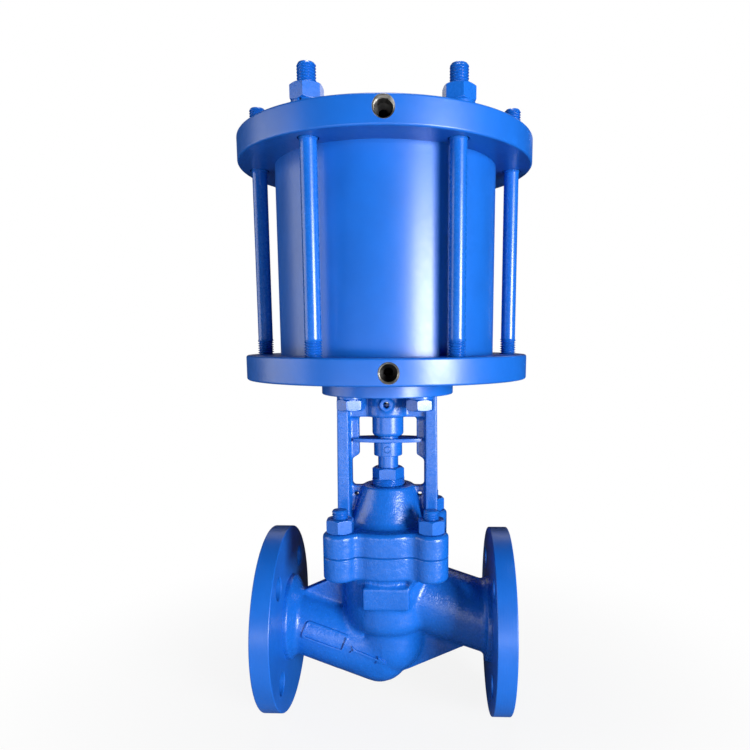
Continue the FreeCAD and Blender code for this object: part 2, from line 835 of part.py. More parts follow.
def anti_rotation_plate():
    """Plate clamped on the stem; its slotted ends run on the guide rails of the legs."""
    half_length = leg_inner - plate_end_gap
    half_width = plate_width / 2
    bow = (plate_width - plate_end_width) / 2
    side = [Vector(-half_length, -half_width + bow, sleeve_top), Vector(0, -half_width, sleeve_top),
            Vector(half_length, -half_width + bow, sleeve_top)]
    front = Part.Arc(*side).toShape()
    back = Part.Arc(*[Vector(p.x, -p.y, p.z) for p in side]).toShape()
    ends = [Part.makeLine(Vector(x, -half_width + bow, sleeve_top), Vector(x, half_width - bow, sleeve_top))
            for x in (-half_length, half_length)]
    outline = Part.Wire(Part.__sortEdges__([front, ends[1], back, ends[0]]))
    plate = Part.Face(outline).extrude(Vector(0, 0, plate_thickness))
    slot_start = leg_inner - rail_depth - slot_clearance
    slot_width = web_thickness + 2 * slot_clearance
    cuts = [cylinder(stem_top_radius + thread_fit, sleeve_top - 1, plate_top + 1)]
    for turn in (-1, 1):
        slot = Part.makeBox(plate_end_gap + half_length, slot_width, plate_thickness + 2)
        slot.translate(Vector(slot_start, -slot_width / 2, sleeve_top - 1))
        cuts.append(slot if turn > 0 else mirrored(slot))
    return plate.cut(cuts)


def rod_coupling():
    """Round coupling that joins stem and piston rod and clamps the plate."""
    body = cylinder(coupling_radius, coupling_low, coupling_top)
    body = rounded_rim(body, coupling_low, coupling_edge_radius)
    neck = cylinder(coupling_neck_radius, plate_top, coupling_low + 1)
    bore = cylinder(stem_top_radius + thread_fit, plate_top - 1, coupling_top + 1)
    return body.fuse(neck).cut(bore)


# Actuator

def port_cuts(height, well_end, cover_radius, turn):
    """Radial threaded port, its drilling and the well that opens into the cylinder."""
    port = along(Vector(0, -cover_radius - 1, height), Vector(0, -cover_radius + port_depth, height),
                 port_diameter / 2)
    drilling = along(Vector(0, -cover_radius + port_depth - 1, height),
                     Vector(0, -port_well_radius, height), port_drilling / 2)
    past = port_drilling / 2 + port_well_past
    well_start = height - past if well_end > height else height + past
    well = along(Vector(0, -port_well_radius, well_start), Vector(0, -port_well_radius, well_end),
                 port_well_diameter / 2)
    return [turned_by(cut, turn) for cut in (port, drilling, well)]


def cover_disc(radius, low, high):
    disc_shape = cylinder(radius, low, high)
    return disc_shape.makeFillet(cover_edge_radius, [edge for edge in disc_shape.Edges if edge.Closed])


def barrel_groove(low, high):
    outer = barrel_radius + barrel_wall + groove_clearance
    return ring(outer, barrel_radius - groove_clearance, low, high)


def bottom_cover():
    boss = rounded_rim(cylinder(cover_boss_radius, bottom_cover_top - 1, boss_top), boss_top, 1.0)
    cover = cover_disc(bottom_cover_radius, yoke_top, bottom_cover_top).fuse(boss)
    tie_rod_hole_low = bottom_cover_top - tie_rod_depth
    tapped = cylinder(tie_rod_thread_diameter / 2 + thread_fit, tie_rod_hole_low, bottom_cover_top + 1)
    cover = cover.cut(turned_actuator(at_places(tapped, tie_rod_places)))
    cuts = port_cuts(yoke_top + lower_port_rise, bottom_cover_top + 1, bottom_cover_radius, lower_port_turn)
    cuts += [barrel_groove(barrel_low - barrel_gasket_thickness, bottom_cover_top + 1),
             cylinder(wiper_radius + press_clearance, yoke_top - 1, yoke_top + wiper_height),
             cylinder(rod_bush_radius + press_clearance, yoke_top, boss_top),
             cylinder(rod_seal_radius + press_clearance, boss_top - rod_seal_height, boss_top + 1)]
    for x, y in yoke_bolt_places:
        cuts.append(cylinder(stud_radius + thread_fit, yoke_top - 1, yoke_top + yoke_bolt_depth + 1, x, y))
    return cover.cut(cuts)


def top_cover():
    boss_low = top_cover_low - spring_boss_height
    boss = rounded_rim(cylinder(spring_boss_radius, boss_low, top_cover_low + 1), boss_low, 1.0)
    cover = cover_disc(top_cover_radius, top_cover_low, top_cover_top).fuse(boss)
    through = cylinder(tie_rod_hole / 2, top_cover_low - 1, top_cover_top + 1)
    cover = cover.cut(turned_actuator(at_places(through, tie_rod_places)))
    cuts = port_cuts(top_cover_low + upper_port_rise, top_cover_low - 1, top_cover_radius, upper_port_turn)
    cuts.append(barrel_groove(top_cover_low - 1, barrel_top + barrel_gasket_thickness))
    cuts.append(ring(stop_tube_radius + press_clearance, stop_tube_radius - stop_tube_wall - press_clearance,
                     boss_low - 1, boss_low + stop_tube_seat_depth))
    return cover.cut(cuts)


def lift_stop_tube():
    """Tube under the top cover that the piston meets when the valve is fully open."""
    low = piston_top + spring_boss_height + stem_lift
    high = top_cover_low - spring_boss_height + stop_tube_seat_depth
    return ring(stop_tube_radius, stop_tube_radius - stop_tube_wall, low, high)


def cylinder_barrel():
    return ring(barrel_radius + barrel_wall, barrel_radius, barrel_low, barrel_top)


def barrel_gasket(low):
    return ring(barrel_radius + barrel_wall - barrel_gasket_inset, barrel_radius + barrel_gasket_inset,
                low, low + barrel_gasket_thickness)


def tie_rods():
    thread = tie_rod_thread_diameter / 2
    shank = tie_rod_shank_diameter / 2
    low = bottom_cover_top - tie_rod_depth
    thread_end = bottom_cover_top + tie_rod_thread_showing
    thread_start = tie_rod_top - tie_rod_top_thread
    step = thread - shank
    edge = rod_end_chamfer
    rod = turned([(0, low), (thread - edge, low), (thread, low + edge), (thread, thread_end - step),
                  (shank, thread_end), (shank, thread_start), (thread, thread_start + step),
                  (thread, tie_rod_top - edge), (thread - edge, tie_rod_top), (0, tie_rod_top)])
    return turned_actuator(at_places(rod, tie_rod_places))


def tie_rod_washers():
    return turned_actuator(at_places(lock_washer(top_cover_top), tie_rod_places))


def tie_rod_nuts():
    return turned_actuator(at_places(nut(tie_nut_low, tie_nut_height), tie_rod_places))


def rod_wiper():
    return ring(wiper_radius, rod_radius + running_fit, yoke_top, yoke_top + wiper_height)


def rod_bush():
    return ring(rod_bush_radius, rod_radius + running_fit, yoke_top + wiper_height, boss_top - rod_seal_height)


def rod_seal():
    return ring(rod_seal_radius, rod_radius + running_fit, boss_top - rod_seal_height, boss_top)


def piston_rod():
    low = coupling_top - coupling_length / 2 + rod_gap_in_coupling / 2
    high = piston_top + piston_washer_thickness + nut_height + rod_above_nut
    thread = rod_thread_radius
    edge = rod_end_chamfer
    return turned([(0, low), (thread - edge, low), (thread, low + edge), (thread, coupling_top),
                   (rod_radius, coupling_top), (rod_radius, piston_low), (thread, piston_low),
                   (thread, high - edge), (thread - edge, high), (0, high)])


def piston():
    """Piston with grooves for seal and guide ring, a spring boss and a lightening pocket."""
    outer = barrel_radius - piston_clearance
    boss = piston_top + spring_boss_height
    blank = fused([cylinder(outer, piston_low, piston_top), cylinder(spring_boss_radius, piston_low, boss)])
    seal_low = piston_low + piston_seal_low
    guide_low = piston_low + guide_ring_low
    cuts = [ring(outer + 1, outer - piston_seal_depth, seal_low, seal_low + piston_seal_height),
            ring(outer + 1, outer - guide_ring_depth, guide_low, guide_low + guide_ring_height),
            ring(barrel_radius - piston_rim, piston_pocket_inner, piston_top - piston_pocket_depth, piston_top + 1),
            cylinder(nut_well_radius, piston_top, boss + 1),
            cylinder(rod_thread_radius + thread_fit, piston_low - 1, boss + 1)]
    return blank.cut(cuts)


def piston_ring(low_offset, height, depth):
    outer = barrel_radius - running_fit
    inner = barrel_radius - piston_clearance - depth + ring_side_clearance
    low = piston_low + low_offset + ring_side_clearance
    return ring(outer, inner, low, low + height - 2 * ring_side_clearance)


def piston_washer():
    return ring(piston_washer_radius, rod_thread_radius + washer_bore_clearance,
                piston_top, piston_top + piston_washer_thickness)


def piston_nut():
    return nut(piston_top + piston_washer_thickness, nut_height)


def return_spring():
    """Coil spring with ends ground flat on the piston and under the top cover."""
    low = piston_top + spring_seat_gap
    high = top_cover_low - spring_seat_gap
    wire = spring_wire_diameter / 2
    pitch = (high - low) / spring_coils
    start = low - pitch * 0.12
    helix = Part.makeHelix(pitch, pitch * (spring_coils + 0.24), spring_mean_radius)
    section = Part.Wire(Part.makeCircle(wire, Vector(spring_mean_radius, 0, 0), Vector(0, 1, 0)))
    coil = Part.Wire(helix).makePipeShell([section], True, True)
    coil.translate(Vector(0, 0, start))
    slab = ring(spring_mean_radius + 2 * wire, spring_mean_radius - 2 * wire, low, high)
    return coil.common(slab)


def write(name, shape):
    lifted = shape.copy()
    lifted.translate(Vector(0, 0, pipe_height))
    lifted.exportStep("parts/" + name + ".step")


def main():
    os.makedirs("parts", exist_ok=True)
    write("valve_body", valve_body())
    write("seat_ring", seat_ring())
    write("body_gasket", body_gasket())
    write("bellows_gasket", bellows_gasket())
    write("bellows_top_ring", bellows_top_ring())
    write("bellows", bellows())
    write("bellows_end_ring", bellows_end_ring())
    write("bonnet_yoke", bonnet_yoke())
    write("bonnet_studs", bonnet_studs())
    write("bonnet_nuts", bonnet_nuts())
    write("stem_guide_bush", stem_guide_bush())
    write("packing_rings", packing_stack())
    write("packing_follower", packing_follower())
    write("gland_nut", gland_nut())
    write("yoke_bolts", yoke_bolts())
    write("yoke_bolt_washers", yoke_bolt_washers())
    write("disc", disc())
    write("disc_lock_ring", disc_lock_ring())
    write("stem", stem())
    write("stem_sleeve", stem_sleeve())
    write("sleeve_pin", sleeve_pin())
    write("anti_rotation_plate", anti_rotation_plate())
    write("rod_coupling", rod_coupling())
    write("bottom_cover", bottom_cover())
    write("cylinder_barrel", cylinder_barrel())
    write("barrel_gasket_lower", barrel_gasket(barrel_low - barrel_gasket_thickness))
    write("barrel_gasket_upper", barrel_gasket(barrel_top))
    write("top_cover", top_cover())
    write("tie_rods", tie_rods())
    write("tie_rod_washers", tie_rod_washers())
    write("tie_rod_nuts", tie_rod_nuts())
    write("rod_wiper", rod_wiper())
    write("rod_bush", rod_bush())
    write("rod_seal", rod_seal())
    write("piston_rod", piston_rod())
    write("piston", piston())
    write("piston_seal", piston_ring(piston_seal_low, piston_seal_height, piston_seal_depth))
    write("piston_guide_ring", piston_ring(guide_ring_low, guide_ring_height, guide_ring_depth))
    write("piston_washer", piston_washer())
    write("piston_nut", piston_nut())
    write("return_spring", return_spring())
    write("lift_stop_tube", lift_stop_tube())


main()
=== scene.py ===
import math

import bmesh
import bpy
from mathutils import Matrix, Vector
from mathutils.bvhtree import BVHTree


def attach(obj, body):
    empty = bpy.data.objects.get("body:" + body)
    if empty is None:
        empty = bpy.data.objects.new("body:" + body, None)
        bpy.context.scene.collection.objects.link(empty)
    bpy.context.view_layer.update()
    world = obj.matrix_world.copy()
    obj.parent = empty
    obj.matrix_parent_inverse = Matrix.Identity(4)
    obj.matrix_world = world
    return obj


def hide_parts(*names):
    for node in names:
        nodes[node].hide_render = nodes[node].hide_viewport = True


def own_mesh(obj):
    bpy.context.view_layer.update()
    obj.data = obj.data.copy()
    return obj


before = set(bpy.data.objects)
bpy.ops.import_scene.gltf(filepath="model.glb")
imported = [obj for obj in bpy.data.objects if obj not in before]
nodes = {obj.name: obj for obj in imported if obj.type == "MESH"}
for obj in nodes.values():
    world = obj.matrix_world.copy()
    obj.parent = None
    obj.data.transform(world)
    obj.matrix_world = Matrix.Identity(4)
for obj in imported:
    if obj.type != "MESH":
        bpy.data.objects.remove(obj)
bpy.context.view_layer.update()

mm = 0.001
turn = math.tau


# tools for the pieces: a bmesh is in millimetres until it becomes an object

tools = {
    "weld": 0.0005,  # points closer than this become one
    "near": 0.02,  # how far a point may lie from the radius or plane that it belongs to
    "threadSlope": 2.6,
    "threadFoot": 0.15,
    "looseTurn": 0.9,  # how far each copy of a round piece is turned from the last, in radians
}


def recalc(bm):
    bmesh.ops.remove_doubles(bm, verts=bm.verts, dist=tools["weld"])
    bmesh.ops.recalc_face_normals(bm, faces=bm.faces)


def softenEdges(bm, width, segments=2, angle=0.5):
    edges = [e for e in bm.edges if len(e.link_faces) == 2 and e.calc_face_angle(0) > angle]
    bmesh.ops.bevel(bm, geom=edges, offset=width, offset_type="OFFSET", affect="EDGES", segments=segments,
                    profile=0.5, material=-1, clamp_overlap=True)


def lathe(profile, segments):  # corners are (radius, height); the profile closes on itself or on the axis
    bm = bmesh.new()
    verts = [bm.verts.new((radius, 0, height)) for radius, height in profile]
    edges = [bm.edges.new(pair) for pair in zip(verts, verts[1:])]
    if profile[0][0] > 0:
        edges.append(bm.edges.new((verts[-1], verts[0])))
    bmesh.ops.spin(bm, geom=verts + edges, cent=(0, 0, 0), axis=(0, 0, 1), angle=turn, steps=segments,
                   use_merge=True)
    recalc(bm)
    return bm


def steps(low, high, size):  # heights that divide a length evenly
    count = max(1, round((high - low) / size))
    return [low + (high - low) * index / count for index in range(count + 1)]


def cutThread(bm, radius, low, high, pitch, depth):  # helical groove in a lathe's own rings
    for vert in bm.verts:
        reach = math.hypot(vert.co.x, vert.co.y)
        if abs(reach - radius) > tools["near"] or not low < vert.co.z < high:
            continue
        phase = (vert.co.z / pitch - math.atan2(vert.co.y, vert.co.x) / turn) % 1
        groove = min(1.0, max(0.0, abs(phase - 0.5) * tools["threadSlope"] - tools["threadFoot"]))
        fade = min(1.0, (vert.co.z - low) / pitch, (high - vert.co.z) / pitch)
        scale = (radius - depth * (1 - groove) * fade) / reach
        vert.co.x *= scale
        vert.co.y *= scale


hexagon = {"faceShare": 0.96, "chamfer": math.radians(30), "blunt": 0.15, "edge": 0.22, "edgeAngle": 0.3}


def hexagonHead(bore, width, low, high, lowChamfer=True):  # a turned ring pressed to six sides
    corner = width / math.sqrt(3)
    inner = width / 2 * hexagon["faceShare"]
    outside = [(inner, low), (corner, low + 1), (corner, high - 1), (inner, high)]
    bm = lathe([(bore, low)] + outside + [(bore, high)], 72)
    for vert in bm.verts:
        reach = math.hypot(vert.co.x, vert.co.y)
        if reach < corner - 0.01:
            continue
        angle = math.atan2(vert.co.y, vert.co.x) % (turn / 6) - turn / 12
        wall = width / 2 / math.cos(angle)
        drop = (wall - inner) * math.tan(hexagon["chamfer"])
        if vert.co.z < (low + high) / 2:
            vert.co.z = low + (drop if lowChamfer else hexagon["blunt"])
        else:
            vert.co.z = high - drop
        vert.co.x *= wall / reach
        vert.co.y *= wall / reach
    softenEdges(bm, hexagon["edge"], 2, hexagon["edgeAngle"])
    return bm


def addInto(target, source, matrix=None):  # copies one bmesh into another and frees it
    if matrix is not None:
        bmesh.ops.transform(source, matrix=matrix, verts=source.verts)
    mesh = bpy.data.meshes.new("part")
    source.to_mesh(mesh)
    source.free()
    target.from_mesh(mesh)
    bpy.data.meshes.remove(mesh)


def repeated(make, places, turns=None):  # turns are the degrees by which each copy stands round
    whole = bmesh.new()
    for index, (x, y) in enumerate(places):
        turned = math.radians(turns[index]) if turns else tools["looseTurn"] * index
        addInto(whole, make(), Matrix.Translation((x, y, 0)) @ Matrix.Rotation(turned, 4, "Z"))
    return whole


def linked(name, data):
    item = bpy.data.objects.new(name, data)
    bpy.context.scene.collection.objects.link(item)
    return item


def newObject(bm, name, scale=mm):
    bmesh.ops.scale(bm, vec=(scale, scale, scale), verts=bm.verts)
    mesh = bpy.data.meshes.new(name)
    bm.to_mesh(mesh)
    bm.free()
    return linked(name, mesh)


def bake(piece):  # turns the modifiers into the mesh itself
    bpy.context.view_layer.update()
    graph = bpy.context.evaluated_depsgraph_get()
    mesh = bpy.data.meshes.new_from_object(piece.evaluated_get(graph))
    piece.modifiers.clear()
    piece.data = mesh


def carve(piece, cutter, metals=()):
    tool = newObject(cutter, "cutter")
    for metal in metals:
        tool.data.materials.append(metal)
    modifier = piece.modifiers.new("carve", "BOOLEAN")
    modifier.operation = "DIFFERENCE"
    modifier.solver = "EXACT"
    modifier.object = tool
    modifier.material_mode = "TRANSFER"
    bake(piece)
    bpy.data.objects.remove(tool)


def finish(piece, body, material, replaced, angle=32, weighted=True):  # shading, body and slot
    mesh = piece.data
    if not mesh.materials:
        mesh.materials.append(material)
    mesh.shade_smooth()
    mesh.set_sharp_from_angle(angle=math.radians(angle))
    if weighted:
        normals = piece.modifiers.new("normals", "WEIGHTED_NORMAL")
        normals.keep_sharp = True
    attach(piece, body)
    if replaced:
        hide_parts(*replaced)
    print("piece", piece.name, len(mesh.polygons))


# materials

paintLook = {
    "colour": (0.005, 0.097, 0.445),
    "colourThin": (0.006, 0.112, 0.505),
    "roughness": 0.36,
    "castRoughness": 0.27,
    "fastenerRoughness": 0.27,
    "coat": 0.12,
    "coatRoughness": 0.22,
    "peel": 0.00004,
    "peelScale": 900.0,
    "broadScale": 38.0,
    "cloudScale": 260.0,
    "sandScale": 800.0,
}


def nodeMaterial(name):
    material = bpy.data.materials.new(name)
    material.use_nodes = True
    tree = material.node_tree
    return material, tree, tree.nodes["Principled BSDF"]


def noise(tree, coordinates, scale, detail):
    texture = tree.nodes.new("ShaderNodeTexNoise")
    texture.inputs["Scale"].default_value = scale
    texture.inputs["Detail"].default_value = detail
    tree.links.new(coordinates, texture.inputs["Vector"])
    return texture.outputs["Fac"]


def ranged(tree, value, low, high, fromLow=0.3, fromHigh=0.7, kind="LINEAR"):  # moves a value to a new range
    remap = tree.nodes.new("ShaderNodeMapRange")
    remap.interpolation_type = kind
    remap.inputs["From Min"].default_value = fromLow
    remap.inputs["From Max"].default_value = fromHigh
    remap.inputs["To Min"].default_value = low
    remap.inputs["To Max"].default_value = high
    tree.links.new(value, remap.inputs["Value"])
    return remap.outputs["Result"]


def bump(tree, height, distance, strength, before=None):
    node = tree.nodes.new("ShaderNodeBump")
    node.inputs["Distance"].default_value = distance
    node.inputs["Strength"].default_value = strength
    tree.links.new(height, node.inputs["Height"])
    if before is not None:
        tree.links.new(before, node.inputs["Normal"])
    return node.outputs["Normal"]


def mixColour(tree, value, first, second):  # either colour may be three numbers or a socket
    mix = tree.nodes.new("ShaderNodeMix")
    mix.data_type = "RGBA"
    tree.links.new(value, mix.inputs["Factor"])
    for socket, colour in ((mix.inputs[6], first), (mix.inputs[7], second)):
        if isinstance(colour, tuple):
            socket.default_value = (*colour, 1)
        else:
            tree.links.new(colour, socket)
    return mix.outputs[2]


def toolRings(tree, coordinates, scale, kind, axis="Z"):  # tool marks round an axis, or along it
    wave = tree.nodes.new("ShaderNodeTexWave")
    wave.wave_type = kind
    if kind == "RINGS":
        wave.rings_direction = axis
    else:
        wave.bands_direction = axis
    wave.inputs["Scale"].default_value = scale
    wave.inputs["Distortion"].default_value = 0.6
    wave.inputs["Detail"].default_value = 2.0
    wave.inputs["Detail Scale"].default_value = 2.0
    tree.links.new(coordinates, wave.inputs["Vector"])
    return wave.outputs["Fac"]


def bluePaint(name, rough, peel=paintLook["peel"], castDepth=0.0, toolMarks=(), axis="Z", centre=(0, 0, 0)):
    material, tree, shader = nodeMaterial(name)
    shift = tree.nodes.new("ShaderNodeVectorMath")
    shift.operation = "SUBTRACT"
    shift.inputs[1].default_value = centre
    tree.links.new(tree.nodes.new("ShaderNodeTexCoord").outputs["Object"], shift.inputs[0])
    place = shift.outputs[0]
    broad = noise(tree, place, paintLook["broadScale"], 4.0)
    colour = mixColour(tree, ranged(tree, broad, 0.0, 1.0), paintLook["colour"], paintLook["colourThin"])
    tree.links.new(colour, shader.inputs["Base Color"])
    cloud = noise(tree, place, paintLook["cloudScale"], 5.0)
    tree.links.new(ranged(tree, cloud, rough - 0.025, rough + 0.03), shader.inputs["Roughness"])
    shader.inputs["Coat Weight"].default_value = paintLook["coat"]
    shader.inputs["Coat Roughness"].default_value = paintLook["coatRoughness"]
    normal = bump(tree, noise(tree, place, paintLook["peelScale"], 2.0), peel, 0.6)
    if castDepth:
        sand = noise(tree, place, paintLook["sandScale"], 3.0)
        normal = bump(tree, sand, castDepth, 1.0, normal)
        lumps = noise(tree, place, paintLook["sandScale"] / 5, 2.0)
        normal = bump(tree, lumps, castDepth * 2.0, 1.0, normal)
    for scale, kind, depth in toolMarks:
        normal = bump(tree, toolRings(tree, place, scale, kind, axis), depth, 0.5, normal)
    tree.links.new(normal, shader.inputs["Normal"])
    return material


metalLook = {"cloudScale": 300.0, "dark": 0.72, "markScale": 220.0, "markDepth": 0.00003}
stuffLook = {"grain": 600.0, "dark": 0.6, "depth": 0.00005}


def bareMetal(name, colour, roughness):
    material, tree, shader = nodeMaterial(name)
    place = tree.nodes.new("ShaderNodeTexCoord").outputs["Object"]
    cloud = noise(tree, place, metalLook["cloudScale"], 4.0)
    darker = tuple(part * metalLook["dark"] for part in colour)
    mixed = mixColour(tree, ranged(tree, cloud, 0.0, 1.0), darker, colour)
    tree.links.new(mixed, shader.inputs["Base Color"])
    tree.links.new(ranged(tree, cloud, roughness - 0.07, roughness + 0.1), shader.inputs["Roughness"])
    shader.inputs["Metallic"].default_value = 1.0
    normal = bump(tree, toolRings(tree, place, metalLook["markScale"], "BANDS"), metalLook["markDepth"], 0.4)
    tree.links.new(bump(tree, cloud, 0.00004, 0.5, normal), shader.inputs["Normal"])
    return material


def plainStuff(name, colour, roughness):
    material, tree, shader = nodeMaterial(name)
    place = tree.nodes.new("ShaderNodeTexCoord").outputs["Object"]
    cloud = noise(tree, place, stuffLook["grain"], 5.0)
    darker = tuple(part * stuffLook["dark"] for part in colour)
    mixed = mixColour(tree, ranged(tree, cloud, 0.0, 1.0), darker, colour)
    tree.links.new(mixed, shader.inputs["Base Color"])
    tree.links.new(ranged(tree, cloud, roughness - 0.08, roughness + 0.08), shader.inputs["Roughness"])
    tree.links.new(bump(tree, cloud, stuffLook["depth"], 0.7), shader.inputs["Normal"])
    return material


castPaint = bluePaint("castPaint", paintLook["castRoughness"], castDepth=0.00024)
yokePaint = bluePaint("yokePaint", paintLook["castRoughness"], castDepth=0.00018)
coverPaint = bluePaint("coverPaint", paintLook["roughness"], toolMarks=((150.0, "RINGS", 0.00004),))
barrelPaint = bluePaint("barrelPaint", paintLook["roughness"], toolMarks=((110.0, "BANDS", 0.00001),))
turnedPaint = bluePaint("turnedPaint", paintLook["roughness"], toolMarks=((230.0, "RINGS", 0.00007),))
flangePaint = bluePaint("flangePaint", paintLook["roughness"], axis="X", centre=(0, 0, 0.075),
                        toolMarks=((150.0, "BANDS", 0.00004), (150.0, "RINGS", 0.00004)))
fastenerPaint = bluePaint("fastenerPaint", paintLook["fastenerRoughness"], peel=0.00001)
threadSteel = bareMetal("threadSteel", (0.52, 0.50, 0.46), 0.34)
stainless = bareMetal("stainless", (0.66, 0.66, 0.65), 0.28)
oiledSteel = bareMetal("oiledSteel", (0.30, 0.30, 0.31), 0.38)
bronze = bareMetal("bronze", (0.62, 0.42, 0.19), 0.36)
castAluminium = bareMetal("castAluminium", (0.70, 0.71, 0.72), 0.42)
graphite = plainStuff("graphite", (0.035, 0.035, 0.038), 0.55)
# near-black stand-in for the shade deep inside the air ports: painted shade
paintedShadeBore = plainStuff("paintedShadeBore", (0.012, 0.011, 0.010), 0.5)
sealRubber = plainStuff("sealRubber", (0.02, 0.02, 0.021), 0.6)
guidePlastic = plainStuff("guidePlastic", (0.62, 0.60, 0.54), 0.5)
print("materials ready")


# the actuator: two covers, barrel and six tie rods, turned a little about the stem

actuator = {
    "turned": math.radians(3.0),
    "rodCircle": 93.8,
    "coverEdge": 1.5,
}
bottomCover = {
    "bore": 8.1,
    "low": 273.4,
    "high": 291.4,
    "radius": 106.5,
    "bossRadius": 18.0,
    "bossHigh": 297.4,
    "rodHole": 6.4,
    "rodHoleLow": 276.4,
    "rodHoleHigh": 292.5,
    "port": {"height": 282.0, "turned": math.radians(4.3)},
}
topCover = {
    "bossRadius": 33.0,
    "bossLow": 420.4,
    "low": 426.4,
    "high": 444.4,
    "radius": 107.25,
    "rodHole": 7.0,
    "rodHoleLow": 425.0,
    "rodHoleHigh": 446.0,
    "port": {"height": 436.8, "turned": math.radians(3.3)},
}
barrel = {"outer": 81.2, "inner": 75.0, "low": 288.0, "high": 429.8, "row": 18, "edge": 0.5}
port = {
    "radius": 6.45,
    "depth": 13.9,
    "pitch": 1.34,
    "threadDepth": 0.75,
    "rowsTo": 0.75,  # this and the next two are depths below the cover's wall
    "grooveTo": 0.6,
    "mouth": 0.05,
    "flare": 7.0,
    "drilling": 3.0,
    "drillingEnd": 44.0,
    "drillPoint": 1.5,
    "bright": 5.2,  # the thread is bare metal down to here; deeper in, the port is painted shade
}


def rodPlaces():
    places = []
    for index in range(6):
        angle = math.radians(60 + 60 * index) + actuator["turned"]
        places.append((actuator["rodCircle"] * math.cos(angle), actuator["rodCircle"] * math.sin(angle)))
    return places


def portCutter(coverRadius, place):  # threaded hole, flared mouth and the drilling behind it
    start = coverRadius - port["depth"]
    end = coverRadius - port["drillingEnd"]
    profile = [(0, end), (port["drilling"], end), (port["drilling"], start - port["drillPoint"]),
               (port["radius"] - port["threadDepth"], start)]
    rows = steps(start + 0.2, coverRadius - port["rowsTo"], port["pitch"] / 7)
    outside = coverRadius + 3
    profile += [(port["radius"], z) for z in rows] + [(port["flare"], coverRadius - port["mouth"])]
    profile += [(port["flare"] + 0.2, outside), (0, outside)]
    bm = lathe(profile, 40)
    cutThread(bm, port["radius"], start, coverRadius - port["grooveTo"], port["pitch"], port["threadDepth"])
    for face in bm.faces:
        # faces deeper than the bare thread get the near-black painted shade
        face.material_index = int(face.calc_center_median().z < coverRadius - port["bright"])
    spot = Matrix.Translation((0, 0, place["height"])) @ Matrix.Rotation(place["turned"], 4, "Z")
    bmesh.ops.transform(bm, matrix=spot @ Matrix.Rotation(math.pi / 2, 4, "X"), verts=bm.verts)
    return bm


def rodHoleCutter(cover):
    radius, low, high = cover["rodHole"], cover["rodHoleLow"], cover["rodHoleHigh"]
    whole = bmesh.new()
    for x, y in rodPlaces():
        hole = lathe([(0, low), (radius, low), (radius, high), (0, high)], 32)
        addInto(whole, hole, Matrix.Translation((x, y, 0)))
    return whole


def makeCover(name, cover, profile, nodeName):  # a turned cover with its air port and six holes
    bm = lathe(profile, 160)
    softenEdges(bm, actuator["coverEdge"], 4)
    piece = newObject(bm, name)
    piece.data.materials.append(coverPaint)
    carve(piece, portCutter(cover["radius"], cover["port"]), (threadSteel, paintedShadeBore))
    carve(piece, rodHoleCutter(cover))
    finish(piece, "housing", coverPaint, (nodeName,))


def makeBottomCover():
    bore, radius, boss = (bottomCover[key] for key in ("bore", "radius", "bossRadius"))
    low, high, bossHigh = (bottomCover[key] for key in ("low", "high", "bossHigh"))
    profile = [(bore, low), (radius, low), (radius, high), (boss, high), (boss, bossHigh), (bore, bossHigh)]
    makeCover("bottomCover", bottomCover, profile, "bottom_cover")


def makeTopCover():
    radius, boss = (topCover[key] for key in ("radius", "bossRadius"))
    low, high, bossLow = (topCover[key] for key in ("low", "high", "bossLow"))
    profile = [(0, bossLow), (boss, bossLow), (boss, low), (radius, low), (radius, high), (0, high)]
    makeCover("topCover", topCover, profile, "top_cover")


def makeBarrel():
    wall = [(barrel["outer"], z) for z in steps(barrel["low"], barrel["high"], barrel["row"])]
    bm = lathe([(barrel["inner"], barrel["low"])] + wall + [(barrel["inner"], barrel["high"])], 144)
    softenEdges(bm, barrel["edge"], 2)
    piece = newObject(bm, "cylinderBarrel")
    finish(piece, "housing", barrelPaint, ("cylinder_barrel",))


tieRod = {
    "shank": 5.45,
    "thread": 6.0,
    "pitch": 1.75,
    "threadDepth": 1.15,
    "low": 276.6,
    "lowerRows": (290.6, 302.4),  # rings of points close enough for the groove
    "lowerGroove": (289.0, 302.8),
    "shankSpan": (303.0, 425.4),
    "upperThread": 426.0,
    "upperRows": (455.7, 468.4),
    "upperGroove": (453.7, 469.0),
    "high": 469.4,
    "chamfer": 1.0,
    "washer": (444.4, 446.9),
    "nut": (446.9, 456.9),
    "nutTurns": (12, 41, 3, 26.5, 42.1, 20),
    "gapTurns": (70, 120, 200, 260, 20, 310),
}


def tieRodShape():
    thread, low, high = tieRod["thread"], tieRod["low"], tieRod["high"]
    step = tieRod["pitch"] / 8
    profile = [(0, low), (thread, low)] + [(thread, z) for z in steps(*tieRod["lowerRows"], step)]
    profile += [(tieRod["shank"], z) for z in tieRod["shankSpan"]] + [(thread, tieRod["upperThread"])]
    profile += [(thread, z) for z in steps(*tieRod["upperRows"], step)]
    profile += [(thread - tieRod["chamfer"], high), (0, high)]
    bm = lathe(profile, 32)
    for groove in ("lowerGroove", "upperGroove"):
        cutThread(bm, thread, *tieRod[groove], tieRod["pitch"], tieRod["threadDepth"])
    return bm


springWasher = {"inner": 6.3, "outer": 10.2, "gap": 1.8, "edge": 0.35}
hexNut = {"bore": 6.02, "width": 19.0}


def lockWasher(low, high):  # split spring washer with softened edges
    inner, outer = springWasher["inner"], springWasher["outer"]
    bm = bmesh.new()
    verts = [bm.verts.new((r, 0, z)) for r, z in ((inner, low), (outer, low), (outer, high), (inner, high))]
    face = bm.faces.new(verts)
    bmesh.ops.spin(bm, geom=[face] + list(face.edges) + verts, cent=(0, 0, 0), axis=(0, 0, 1),
                   angle=turn - springWasher["gap"] / outer, steps=56, use_merge=False)
    recalc(bm)
    softenEdges(bm, springWasher["edge"], 2, 0.8)
    return bm


def finishFastener(bm, name, nodeName, angle=32):
    finish(newObject(bm, name), "housing", fastenerPaint, (nodeName,), angle)


